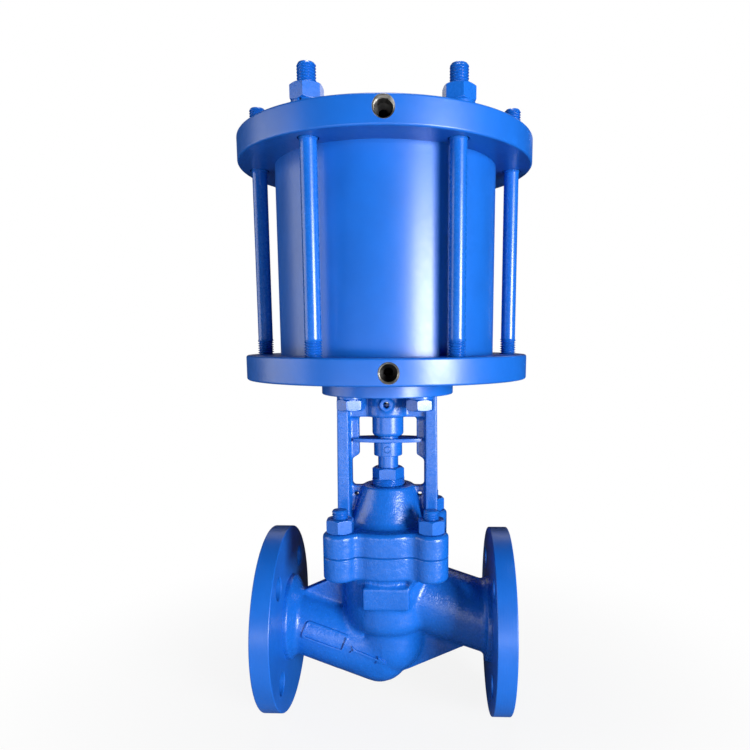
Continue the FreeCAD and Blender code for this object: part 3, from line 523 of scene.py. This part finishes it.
def makeTieRods():
    places = rodPlaces()
    finishFastener(repeated(tieRodShape, places), "tieRods", "tie_rods", 40)
    washers = repeated(lambda: lockWasher(*tieRod["washer"]), places, tieRod["gapTurns"])
    finishFastener(washers, "tieRodWashers", "tie_rod_washers")
    nuts = repeated(lambda: hexagonHead(hexNut["bore"], hexNut["width"], *tieRod["nut"]), places,
                    tieRod["nutTurns"])
    finishFastener(nuts, "tieRodNuts", "tie_rod_nuts")


makeBottomCover()
makeTopCover()
makeBarrel()
makeTieRods()
print("actuator done")


# castings: a copy of the CAD shape gets a cast skin with rounded inner corners

castSkin = {
    "body": {"voxel": 0.95, "fillet": 2.0, "smooth": 5},
    "yoke": {"voxel": 0.8, "fillet": 1.0, "smooth": 3},
    "weld": 0.002,  # merges the loose triangles of a CAD node
    "nick": 0.05,  # a flat end is cut this far inside
    "stretch": 4.0,  # and moved out this far, so that its rim stays sharp when it is trimmed back
}


def inMillimetres(mesh):
    bm = bmesh.new()
    bm.from_mesh(mesh)
    bmesh.ops.scale(bm, vec=(1000, 1000, 1000), verts=bm.verts)
    return bm


def mergedCopy(name):
    bm = inMillimetres(nodes[name].data)
    bmesh.ops.remove_doubles(bm, verts=bm.verts, dist=castSkin["weld"])
    return bm


def trim(bm, point, normal):  # cuts away what lies beyond the plane and gives the open edges of the cut
    whole = bm.verts[:] + bm.edges[:] + bm.faces[:]
    cut = bmesh.ops.bisect_plane(bm, geom=whole, dist=tools["weld"], plane_co=point, plane_no=normal,
                                 clear_outer=True)
    return [item for item in cut["geom_cut"] if isinstance(item, bmesh.types.BMEdge) and item.is_boundary]


def closeRim(bm, rim):
    bmesh.ops.triangle_fill(bm, use_beauty=True, use_dissolve=False, edges=rim)


def closeEnds(bm):  # one face over each open end
    bmesh.ops.holes_fill(bm, edges=[edge for edge in bm.edges if edge.is_boundary], sides=0)
    bmesh.ops.recalc_face_normals(bm, faces=bm.faces)


def islands(bm):
    left = set(bm.verts)
    found = []
    while left:
        group, front = set(), [left.pop()]
        while front:
            vert = front.pop()
            group.add(vert)
            for edge in vert.link_edges:
                other = edge.other_vert(vert)
                if other in left:
                    left.remove(other)
                    front.append(other)
        found.append(group)
    return sorted(found, key=len, reverse=True)


def span(group, axis):
    values = [vert.co[axis] for vert in group]
    return max(values) - min(values)


def keepOnly(bm, kept):
    bmesh.ops.delete(bm, geom=[vert for vert in bm.verts if vert not in kept], context="VERTS")


def shiftPlane(bm, axis, value, distance):
    for vert in bm.verts:
        if abs(vert.co[axis] - value) < tools["near"]:
            vert.co[axis] += distance


def giveSkin(piece, look):  # swells and shrinks a voxel mesh, which fills the inner corners, then smooths it
    for reach in (look["fillet"], -look["fillet"]):
        skin = piece.modifiers.new("skin", "REMESH")
        skin.mode = "VOXEL"
        skin.voxel_size = look["voxel"] * mm
        swell = piece.modifiers.new("swell", "DISPLACE")
        swell.mid_level = 0
        swell.strength = reach * mm
        bake(piece)
    calm = piece.modifiers.new("calm", "SMOOTH")
    calm.factor = 0.5
    calm.iterations = look["smooth"]
    bake(piece)


def renew(piece, bm):
    bmesh.ops.scale(bm, vec=(mm, mm, mm), verts=bm.verts)
    bm.to_mesh(piece.data)
    bm.free()


bonnet = {
    "low": 141.0,
    "trimLow": 141.1,
    "high": 261.2,
    "trimHigh": 262.0,
    "hubBore": 13.1,
    "flangeRadius": 51.0,
    "flangeHigh": 273.35,
    "flangeEdge": 0.8,
    "lubeHeight": 253.2,
    "lubeHole": 2.5,
    "lubeReach": (-22, -9),
    "weepX": 25.3,
    "weepHeight": 181.0,
    "weepHole": 1.8,
    "weepReach": (-6, 6),
}


def crossHole(radius, x, height, start, end):  # hole along Y
    bm = lathe([(0, start), (radius, start), (radius, end), (0, end)], 32)
    matrix = Matrix.Translation((x, 0, height)) @ Matrix.Rotation(-math.pi / 2, 4, "X")
    bmesh.ops.transform(bm, matrix=matrix, verts=bm.verts)
    return bm


def makeYoke():
    ceiling = bonnet["high"] - castSkin["nick"]
    bm = mergedCopy("bonnet_yoke")
    closeRim(bm, trim(bm, (0, 0, ceiling), (0, 0, 1)))
    shiftPlane(bm, 2, ceiling, castSkin["stretch"])
    shiftPlane(bm, 2, bonnet["low"], -castSkin["stretch"])
    piece = newObject(bm, "yokeCasting")
    giveSkin(piece, castSkin["yoke"])
    bm = inMillimetres(piece.data)
    closeRim(bm, trim(bm, (0, 0, bonnet["trimLow"]), (0, 0, -1)))
    closeRim(bm, trim(bm, (0, 0, bonnet["trimHigh"]), (0, 0, 1)))
    renew(piece, bm)
    piece.data.materials.append(yokePaint)
    holes = crossHole(bonnet["lubeHole"], 0, bonnet["lubeHeight"], *bonnet["lubeReach"])
    for side in (-1, 1):
        x = side * bonnet["weepX"]
        addInto(holes, crossHole(bonnet["weepHole"], x, bonnet["weepHeight"], *bonnet["weepReach"]))
    carve(piece, holes)
    finish(piece, "housing", yokePaint, ("bonnet_yoke",), 60, False)
    bore, radius, low, high = bonnet["hubBore"], bonnet["flangeRadius"], bonnet["high"], bonnet["flangeHigh"]
    disc = lathe([(bore, low), (radius, low), (radius, high), (bore, high)], 128)
    softenEdges(disc, bonnet["flangeEdge"], 3)
    finish(newObject(disc, "yokeFlange"), "housing", turnedPaint, ("bonnet_yoke",))


body = {
    "top": 140.0,
    "topTrim": 139.9,
    "pipeCut": 81.9,
    "pipeStretch": 5.0,
    "pipeTrim": 83.0,
}
passage = {"top": 132.0, "end": 99.98, "overrun": 3.0, "longerThan": 150, "narrowerThan": 70}
bowlBlends = (
    {"x": (-42, 1), "z": (24, 60), "rounds": 45},
    {"x": (-40, -4), "z": (34, 67), "rounds": 160},
    {"x": (-44, -19), "z": (50, 90), "rounds": 60},
)
webClearance = 5  # half the width about the middle plane where the webs keep their edges


def passageTool():  # the flow passage of the CAD body as a closed cutter
    bm = mergedCopy("valve_body")
    trim(bm, (0, 0, passage["top"]), (0, 0, 1))
    for side in (1, -1):
        trim(bm, (side * passage["end"], 0, 0), (side, 0, 0))
    inside = [group for group in islands(bm)
              if span(group, 0) > passage["longerThan"] and span(group, 1) < passage["narrowerThan"]]
    keepOnly(bm, inside[0])
    for side in (1, -1):
        shiftPlane(bm, 0, side * passage["end"], side * passage["overrun"])
    closeEnds(bm)
    return bm


def easeBowl(bm):  # the sloped inlet runs into the bowl without an edge
    for blend in bowlBlends:
        (left, right), (low, high) = blend["x"], blend["z"]
        verts = [v for v in bm.verts
                 if left < v.co.x < right and low < v.co.z < high and abs(v.co.y) > webClearance]
        for _ in range(blend["rounds"]):
            bmesh.ops.smooth_vert(bm, verts=verts, factor=0.5, use_axis_x=True, use_axis_y=True,
                                  use_axis_z=True)


def makeBody():
    ceiling = body["top"] - castSkin["nick"]
    bm = mergedCopy("valve_body")
    trim(bm, (0, 0, ceiling), (0, 0, 1))
    for side in (1, -1):
        trim(bm, (side * body["pipeCut"], 0, 0), (side, 0, 0))
    keepOnly(bm, max(islands(bm), key=lambda group: span(group, 1)))
    shiftPlane(bm, 2, ceiling, castSkin["stretch"])
    for side in (1, -1):
        shiftPlane(bm, 0, side * body["pipeCut"], side * body["pipeStretch"])
    closeEnds(bm)
    piece = newObject(bm, "bodyCasting")
    giveSkin(piece, castSkin["body"])
    bm = inMillimetres(piece.data)
    easeBowl(bm)
    closeRim(bm, trim(bm, (0, 0, body["topTrim"]), (0, 0, 1)))
    for side in (1, -1):
        closeRim(bm, trim(bm, (side * body["pipeTrim"], 0, 0), (side, 0, 0)))
    renew(piece, bm)
    piece.data.materials.append(castPaint)
    carve(piece, passageTool())
    finish(piece, "housing", castPaint, ("valve_body",), 60, False)
    return piece


pipeFlange = {
    "axis": 75.0,
    "back": 82.0,
    "rim": 75.0,
    "face": 97.0,
    "raised": 44.0,
    "end": 100.0,
    "edge": 0.8,
    "boltCircle": 55.0,
    "boltHole": 9.0,
    "holeEdge": 0.5,
    "holeLip": 0.1,
    "drillReach": 2.0,
}


def boltHoleDrill():  # its two ends widen, so that each hole gets a broken edge
    hole, edge, lip, reach = (pipeFlange[key] for key in ("boltHole", "holeEdge", "holeLip", "drillReach"))
    back, face, wide = pipeFlange["back"], pipeFlange["face"], hole + edge + lip + reach
    lower = [(0, back - reach), (wide, back - reach), (hole + edge, back + lip), (hole, back + lip + edge)]
    upper = [(hole, face - lip - edge), (hole + edge, face - lip), (wide, face + reach), (0, face + reach)]
    return lathe(lower + upper, 40)


def makePipeFlange(name, side):
    axis, circle = pipeFlange["axis"], pipeFlange["boltCircle"]
    back, rim, face, raised, end = (pipeFlange[key] for key in ("back", "rim", "face", "raised", "end"))
    bm = lathe([(0, back), (rim, back), (rim, face), (raised, face), (raised, end), (0, end)], 144)
    softenEdges(bm, pipeFlange["edge"], 5)
    sideways = Matrix.Rotation(side * math.pi / 2, 4, "Y")
    bmesh.ops.transform(bm, matrix=sideways, verts=bm.verts)
    bmesh.ops.translate(bm, vec=(0, 0, axis), verts=bm.verts)
    piece = newObject(bm, name)
    piece.data.materials.append(flangePaint)
    holes = bmesh.new()
    for index in range(4):
        angle = math.radians(45 + 90 * index)
        spot = Matrix.Translation((0, circle * math.cos(angle), circle * math.sin(angle) + axis))
        addInto(holes, boltHoleDrill(), spot @ sideways)
    carve(piece, holes)
    carve(piece, passageTool())
    finish(piece, "housing", flangePaint, ("valve_body",), 20)


makeYoke()
casting = makeBody()
makePipeFlange("inletFlange", -1)
makePipeFlange("outletFlange", 1)
print("castings done")


# raised marks on the inlet pipe: a blank frame and a flow arrow

marks = {
    "frameCentre": (-49.8, 69.0),
    "frameSize": (36.0, 14.2),
    "frameCorner": 3.0,
    "frameLine": 2.0,
    "arrowCentre": (-15.0, 53.2),
    "arrowLength": 31.0,
    "tailHalf": 2.8,
    "tailLength": 4,
    "tailNotch": 2,
    "shaftHalf": 1.1,
    "headHalf": 3.6,
    "headLength": 9,
    "headRoot": 8,
    "slope": math.radians(21.0),
    "stand": 1.5,
    "sink": 0.6,  # how far the marks go into the casting
    "edge": 0.35,
    "spacing": 2.0,  # between the rows that let a mark bend round the pipe
    "rowsTo": (18, 8),
    "rayFrom": -0.2,  # in metres, in front of the casting
}


def layOnCasting(bm, centre):  # a flat shape in X and Z takes the height of the casting's front
    spot = Matrix.Translation((centre[0], 0, centre[1])) @ Matrix.Rotation(marks["slope"], 4, "Y")
    bmesh.ops.transform(bm, matrix=spot, verts=bm.verts)
    graph = bpy.context.evaluated_depsgraph_get()
    front = BVHTree.FromObject(casting, graph)
    for vert in bm.verts:
        start = Vector((vert.co.x * mm, marks["rayFrom"], vert.co.z * mm))
        hit = front.ray_cast(start, Vector((0, 1, 0)))[0]
        vert.co.y += hit.y / mm


def raiseShape(bm):  # gives a flat outline its thickness and enough rows to bend
    extruded = bmesh.ops.extrude_face_region(bm, geom=bm.faces[:])["geom"]
    raised = [item for item in extruded if isinstance(item, bmesh.types.BMVert)]
    bmesh.ops.translate(bm, vec=(0, -marks["stand"] - marks["sink"], 0), verts=raised)
    bmesh.ops.translate(bm, vec=(0, marks["sink"], 0), verts=bm.verts)
    bmesh.ops.recalc_face_normals(bm, faces=bm.faces)
    softenEdges(bm, marks["edge"], 2)
    for normal, reach in zip(((1, 0, 0), (0, 0, 1)), marks["rowsTo"]):
        for value in steps(-reach, reach, marks["spacing"]):
            point = tuple(part * value for part in normal)
            whole = bm.verts[:] + bm.edges[:] + bm.faces[:]
            bmesh.ops.bisect_plane(bm, geom=whole, plane_co=point, plane_no=normal)


def markOutline(corners):
    bm = bmesh.new()
    bm.faces.new([bm.verts.new((x, 0, z)) for x, z in corners])
    return bm


def placeMark(bm, name, centre):
    raiseShape(bm)
    layOnCasting(bm, centre)
    finish(newObject(bm, name), "housing", castPaint, (), 40, False)


def makeFrameMark():
    wide, high = (size / 2 for size in marks["frameSize"])
    bm = markOutline([(-wide, -high), (wide, -high), (wide, high), (-wide, high)])
    bmesh.ops.bevel(bm, geom=bm.verts[:], offset=marks["frameCorner"], offset_type="OFFSET",
                    affect="VERTICES", segments=5, profile=0.5, material=-1)
    inner = bm.faces[:]
    bmesh.ops.inset_region(bm, faces=inner, thickness=marks["frameLine"], use_even_offset=True,
                           use_boundary=True)
    bmesh.ops.delete(bm, geom=inner, context="FACES_ONLY")
    placeMark(bm, "castFrame", marks["frameCentre"])


def makeArrowMark():
    reach = marks["arrowLength"] / 2
    tail, shaft, head = marks["tailHalf"], marks["shaftHalf"], marks["headHalf"]
    lower = [(-reach, -tail), (-reach + marks["tailLength"], -shaft), (reach - marks["headRoot"], -shaft),
             (reach - marks["headLength"], -head)]
    upper = [(x, -z) for x, z in reversed(lower)]
    outline = lower + [(reach, 0)] + upper + [(-reach + marks["tailNotch"], 0)]
    placeMark(markOutline(outline), "flowArrow", marks["arrowCentre"])


makeFrameMark()
makeArrowMark()
print("marks done")


# bonnet studs and nuts, screws and washers of the yoke, gland nut

stud = {
    "across": 34.5,
    "radius": 6.0,
    "pitch": 1.75,
    "threadDepth": 0.95,
    "chamfer": 1.0,
    "low": 124.2,
    "nutLow": 158.5,
    "nutHigh": 169.3,
    "high": 175.8,
    "rows": (168.1, 174.8),
    "groove": (166.3, 175.4),
    "nutTurns": (29.1, 8, 34.8, 51),
}
yokeBolt = {
    "across": (26.0, 24.0),
    "bore": 5.0,
    "core": 5.2,
    "radius": 6.0,
    "headLow": 250.1,
    "headHigh": 258.7,
    "washerHigh": 261.2,
    "tip": 286.0,
    "headTurns": (19, 44, 21.1, 2),
    "gapTurns": (115, 40, 205, 300),
}
gland = {
    "bore": 8.4,
    "thread": 13.0,
    "pitch": 1.5,
    "threadDepth": 0.8,
    "low": 179.4,
    "rows": (188.0, 193.7),
    "groove": (187.0, 194.9),
    "hexLow": 193.4,
    "hexHigh": 202.5,
    "width": 22.0,
}


def fourPlaces(across, along):
    return [(x * across, y * along) for x in (-1, 1) for y in (-1, 1)]


def bonnetStud():
    radius, low, high, chamfer = stud["radius"], stud["low"], stud["high"], stud["chamfer"]
    rows = [(radius, z) for z in steps(*stud["rows"], stud["pitch"] / 8)]
    profile = [(0, low), (radius - chamfer, low), (radius, low + chamfer)] + rows
    bm = lathe(profile + [(radius - chamfer, high), (0, high)], 32)
    cutThread(bm, radius, *stud["groove"], stud["pitch"], stud["threadDepth"])
    return bm


def makeBonnetFasteners():
    places = fourPlaces(stud["across"], stud["across"])
    finishFastener(repeated(bonnetStud, places), "bonnetStuds", "bonnet_studs", 40)
    nuts = repeated(lambda: hexagonHead(hexNut["bore"], hexNut["width"], stud["nutLow"], stud["nutHigh"]),
                    places, stud["nutTurns"])
    finishFastener(nuts, "bonnetNuts", "bonnet_nuts")


def yokeBoltShape():
    low, high, tip, radius = yokeBolt["headLow"], yokeBolt["headHigh"], yokeBolt["tip"], yokeBolt["radius"]
    bm = hexagonHead(yokeBolt["bore"], hexNut["width"], low, high)
    shank = [(0, low), (yokeBolt["core"], low), (radius, high - 2), (radius, tip), (0, tip)]
    addInto(bm, lathe(shank, 32))
    return bm


def makeYokeBolts():
    places = fourPlaces(*yokeBolt["across"])
    finishFastener(repeated(yokeBoltShape, places, yokeBolt["headTurns"]), "yokeBolts", "yoke_bolts")
    washers = repeated(lambda: lockWasher(yokeBolt["headHigh"], yokeBolt["washerHigh"]), places,
                       yokeBolt["gapTurns"])
    finishFastener(washers, "yokeBoltWashers", "yoke_bolt_washers")


def makeGlandNut():
    bore, thread, low = gland["bore"], gland["thread"], gland["low"]
    bm = hexagonHead(bore, gland["width"], gland["hexLow"], gland["hexHigh"], lowChamfer=False)
    rows = [(thread, z) for z in steps(*gland["rows"], gland["pitch"] / 8)]
    collar = lathe([(bore, low), (thread, low)] + rows + [(bore, gland["rows"][1])], 56)
    cutThread(collar, thread, *gland["groove"], gland["pitch"], gland["threadDepth"])
    addInto(bm, collar)
    finishFastener(bm, "glandNut", "gland_nut")


makeBonnetFasteners()
makeYokeBolts()
makeGlandNut()
print("fasteners done")


# the moving chain above the gland: sleeve with its pin, slotted plate and coupling

sleeve = {
    "bore": 8.05,
    "radius": 11.2,
    "low": 212.0,
    "high": 223.1,
    "edge": 0.6,
    "pinRadius": 2.6,
    "pinHeight": 217.55,
    "pinGap": 0.12,
    "pinSunk": 0.15,
    "pinEdge": 0.5,
}
coupling = {
    "bore": 6.05,
    "neckLow": 226.1,
    "neck": 8.2,
    "low": 227.5,
    "high": 253.5,
    "radius": 12.3,
    "round": 3.0,
}
guidePlateEdge = 0.45


def finishCoupling(bm, name, nodeName):
    finish(newObject(bm, name), "stem_train", fastenerPaint, (nodeName,))


def makeSleeve():
    bore, radius, low, high = sleeve["bore"], sleeve["radius"], sleeve["low"], sleeve["high"]
    bm = lathe([(bore, low), (radius, low), (radius, high), (bore, high)], 72)
    softenEdges(bm, sleeve["edge"], 3)
    piece = newObject(bm, "stemSleeve")
    piece.data.materials.append(fastenerPaint)
    pinHole, beyond = sleeve["pinRadius"] + sleeve["pinGap"], radius + 2
    carve(piece, crossHole(pinHole, 0, sleeve["pinHeight"], -beyond, beyond))
    finish(piece, "stem_train", fastenerPaint, ("stem_sleeve",))
    end = radius - sleeve["pinSunk"]
    pin = crossHole(sleeve["pinRadius"], 0, sleeve["pinHeight"], -end, end)
    softenEdges(pin, sleeve["pinEdge"], 3, 0.8)
    finishCoupling(pin, "sleevePin", "sleeve_pin")


def makeCoupling():
    bore, neck, radius, low = coupling["bore"], coupling["neck"], coupling["radius"], coupling["low"]
    bm = lathe([(bore, coupling["neckLow"]), (neck, coupling["neckLow"]), (neck, low), (radius, low),
                (radius, coupling["high"]), (bore, coupling["high"])], 72)
    rim = {v for v in bm.verts if abs(v.co.z - low) < tools["near"] and math.hypot(v.co.x, v.co.y) > neck + 1}
    lower = [edge for edge in bm.edges if all(vert in rim for vert in edge.verts)]
    bmesh.ops.bevel(bm, geom=lower, offset=coupling["round"], offset_type="OFFSET", affect="EDGES",
                    segments=6, profile=0.5, material=-1)
    finishCoupling(bm, "rodCoupling", "rod_coupling")


def makeGuidePlate():
    bm = mergedCopy("anti_rotation_plate")
    bmesh.ops.dissolve_limit(bm, angle_limit=0.02, verts=bm.verts, edges=bm.edges)
    softenEdges(bm, guidePlateEdge, 3)
    finishCoupling(bm, "guidePlate", "anti_rotation_plate")


makeSleeve()
makeCoupling()
makeGuidePlate()
print("moving chain done")


# bellows and return spring, fixed at their top ends: merged copies of their CAD nodes

flexible = {
    "lift": 0.012,
    "bellows": {"fixedEnd": 0.1355, "material": stainless, "slot": "stainless_steel"},
    "return_spring": {"fixedEnd": 0.4263, "material": oiledSteel, "slot": "bare_steel"},
}


def makeFlexible(name, shownName):
    piece = newObject(mergedCopy(name), shownName)
    finish(piece, "housing", flexible[name]["material"], (name,), 40, False)
    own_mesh(piece)


makeFlexible("bellows", "stemBellows")
makeFlexible("return_spring", "returnSpring")
print("flexible pieces done")


# CAD pieces that stay as they are, most of them inside

carried = {
    "stem": fastenerPaint,
    "seat_ring": stainless,
    "disc": stainless,
    "disc_lock_ring": stainless,
    "bellows_end_ring": stainless,
    "bellows_top_ring": stainless,
    "piston_rod": stainless,
    "lift_stop_tube": oiledSteel,
    "piston_washer": oiledSteel,
    "piston_nut": oiledSteel,
    "packing_follower": oiledSteel,
    "stem_guide_bush": bronze,
    "rod_bush": bronze,
    "packing_rings": graphite,
    "body_gasket": graphite,
    "bellows_gasket": graphite,
    "barrel_gasket_lower": sealRubber,
    "barrel_gasket_upper": sealRubber,
    "rod_wiper": sealRubber,
    "rod_seal": sealRubber,
    "piston_seal": sealRubber,
    "piston_guide_ring": guidePlastic,
    "piston": castAluminium,
}
for name, material in carried.items():
    nodes[name].data.materials.clear()
    nodes[name].data.materials.append(material)
print("carried pieces done")


# floor, light and camera

stageLook = {
    "floor": 4.0,
    "floorHeight": -0.0005,
    "floorFront": (0.55, 0.55, 0.55),
    "floorBack": (0.04, 0.04, 0.04),
    "frontTo": -0.12,  # the floor darkens between these two places along Y
    "backFrom": 0.02,
    "floorSeen": (0.85, 0.85, 0.85),  # the camera sees a paler floor than the paint does
    "world": 0.008,
    "shadowShare": 0.12,  # how much of the lit floor shows near the object
    "shadowFrom": 0.16,  # in metres from the middle, where that share starts to fade out
    "shadowTo": 0.42,
    "mirrored": 0.012,  # how much of the white the gloss of the paint shows
}


def whiteShare(tree):  # the background is white to the camera and behind glass, and weaker in gloss
    path = tree.nodes.new("ShaderNodeLightPath")
    gloss = tree.nodes.new("ShaderNodeMath")
    gloss.operation = "MULTIPLY_ADD"
    gloss.inputs[1].default_value = stageLook["mirrored"]
    tree.links.new(path.outputs["Is Glossy Ray"], gloss.inputs[0])
    tree.links.new(path.outputs["Is Camera Ray"], gloss.inputs[2])
    whole = tree.nodes.new("ShaderNodeMath")
    whole.operation = "ADD"
    whole.use_clamp = True
    tree.links.new(gloss.outputs[0], whole.inputs[0])
    tree.links.new(path.outputs["Is Transmission Ray"], whole.inputs[1])
    return whole.outputs[0]


def mixShaders(tree, share, first, second, output):
    choice = tree.nodes.new("ShaderNodeMixShader")
    tree.links.new(share, choice.inputs["Fac"])
    tree.links.new(first, choice.inputs[1])
    tree.links.new(second, choice.inputs[2])
    tree.links.new(choice.outputs["Shader"], output.inputs["Surface"])


def floorMaterial():
    material, tree, shader = nodeMaterial("paleFloor")
    shader.inputs["Roughness"].default_value = 0.9
    shader.inputs["Specular IOR Level"].default_value = 0.0
    place = tree.nodes.new("ShaderNodeTexCoord").outputs["Object"]
    apart = tree.nodes.new("ShaderNodeSeparateXYZ")
    tree.links.new(place, apart.inputs[0])
    behind = ranged(tree, apart.outputs["Y"], 0.0, 1.0, stageLook["frontTo"], stageLook["backFrom"])
    colour = mixColour(tree, behind, stageLook["floorFront"], stageLook["floorBack"])
    seen = tree.nodes.new("ShaderNodeLightPath").outputs["Is Camera Ray"]
    tree.links.new(mixColour(tree, seen, colour, stageLook["floorSeen"]), shader.inputs["Base Color"])
    away = tree.nodes.new("ShaderNodeVectorMath")
    away.operation = "LENGTH"
    tree.links.new(place, away.inputs[0])
    fade = ranged(tree, away.outputs["Value"], 1 - stageLook["shadowShare"], 1.0, stageLook["shadowFrom"],
                  stageLook["shadowTo"], "SMOOTHSTEP")
    share = tree.nodes.new("ShaderNodeMath")
    share.operation = "MULTIPLY"
    tree.links.new(fade, share.inputs[0])
    tree.links.new(whiteShare(tree), share.inputs[1])
    white = tree.nodes.new("ShaderNodeEmission")
    mixShaders(tree, share.outputs[0], shader.outputs["BSDF"], white.outputs["Emission"],
               tree.nodes["Material Output"])
    return material


def makeFloor():
    bm = bmesh.new()
    bmesh.ops.create_grid(bm, x_segments=1, y_segments=1, size=stageLook["floor"])
    floor = newObject(bm, "floor", 1)
    floor.location = (0, 0, stageLook["floorHeight"])
    floor.data.materials.append(floorMaterial())


def makeWorld():
    world = bpy.data.worlds.new("studio")
    bpy.context.scene.world = world
    world.use_nodes = True
    tree = world.node_tree
    glow = tree.nodes["Background"]
    glow.inputs["Color"].default_value = (1, 1, 1, 1)
    glow.inputs["Strength"].default_value = stageLook["world"]
    white = tree.nodes.new("ShaderNodeBackground")
    white.inputs["Color"].default_value = (1, 1, 1, 1)
    white.inputs["Strength"].default_value = 1.0
    mixShaders(tree, whiteShare(tree), glow.outputs["Background"], white.outputs["Background"],
               tree.nodes["World Output"])


lampAim = (0.0, 0.0, 0.24)
lamps = {  # azimuth from the front towards the right, and elevation, both in degrees
    "windowRight": {"azimuth": 43, "elevation": 2.5, "away": 2.2, "size": (0.92, 0.68), "radiance": 42.5},
    "sheetLeft": {"azimuth": -81, "elevation": 7, "away": 1.2, "size": (1.0, 0.9), "radiance": 2.7},
    "lowFront": {"azimuth": -10, "elevation": -9, "away": 0.95, "size": (1.0, 0.16), "radiance": 4.2},
    "softTop": {"azimuth": 0, "elevation": 90, "away": 1.3, "size": (0.3, 0.3), "radiance": 17.0},
    "softBack": {"azimuth": 178, "elevation": 34, "away": 1.3, "size": (1.3, 0.4), "radiance": 1.3},
}


def makeLamps():
    for name, lamp in lamps.items():
        light = bpy.data.lights.new(name, "AREA")
        light.shape = "RECTANGLE"
        light.size, light.size_y = lamp["size"]
        light.energy = math.pi * lamp["size"][0] * lamp["size"][1] * lamp["radiance"]
        holder = linked(name, light)
        azimuth, elevation = math.radians(lamp["azimuth"]), math.radians(lamp["elevation"])
        level = math.cos(elevation)
        out = Vector((math.sin(azimuth) * level, -math.cos(azimuth) * level, math.sin(elevation)))
        holder.location = Vector(lampAim) + out * lamp["away"]
        holder.rotation_euler = (-out).to_track_quat("-Z", "Y").to_euler()


view = {  # fitted to the photo; angles are in radians
    "place": (0.03515, -0.50982, 0.30342),
    "yaw": -0.0333,
    "pitch": 0.1562,
    "roll": -0.0023,
    "sensor": 36,
    "lens": 31.247,
    "shift": (-0.0479, 0.08779),
    "clipStart": 0.01,
}


def makeCamera():
    data = bpy.data.cameras.new("photoView")
    data.sensor_width = view["sensor"]
    data.lens = view["lens"]
    data.shift_x, data.shift_y = view["shift"]
    data.clip_start = view["clipStart"]
    camera = linked("photoView", data)
    yaw, pitch, roll = view["yaw"], view["pitch"], view["roll"]
    ahead = Vector((math.sin(yaw) * math.cos(pitch), math.cos(yaw) * math.cos(pitch), -math.sin(pitch)))
    right = Vector((math.cos(yaw), -math.sin(yaw), 0))
    up = right.cross(ahead)
    across = math.cos(roll) * right + math.sin(roll) * up
    upward = -math.sin(roll) * right + math.cos(roll) * up
    turned = Matrix((across, upward, -ahead)).transposed()
    camera.matrix_world = Matrix.Translation(view["place"]) @ turned.to_4x4()
    bpy.context.scene.camera = camera


makeFloor()
makeWorld()
makeLamps()
makeCamera()
bpy.context.scene.view_settings.view_transform = "Standard"
print("stage done")
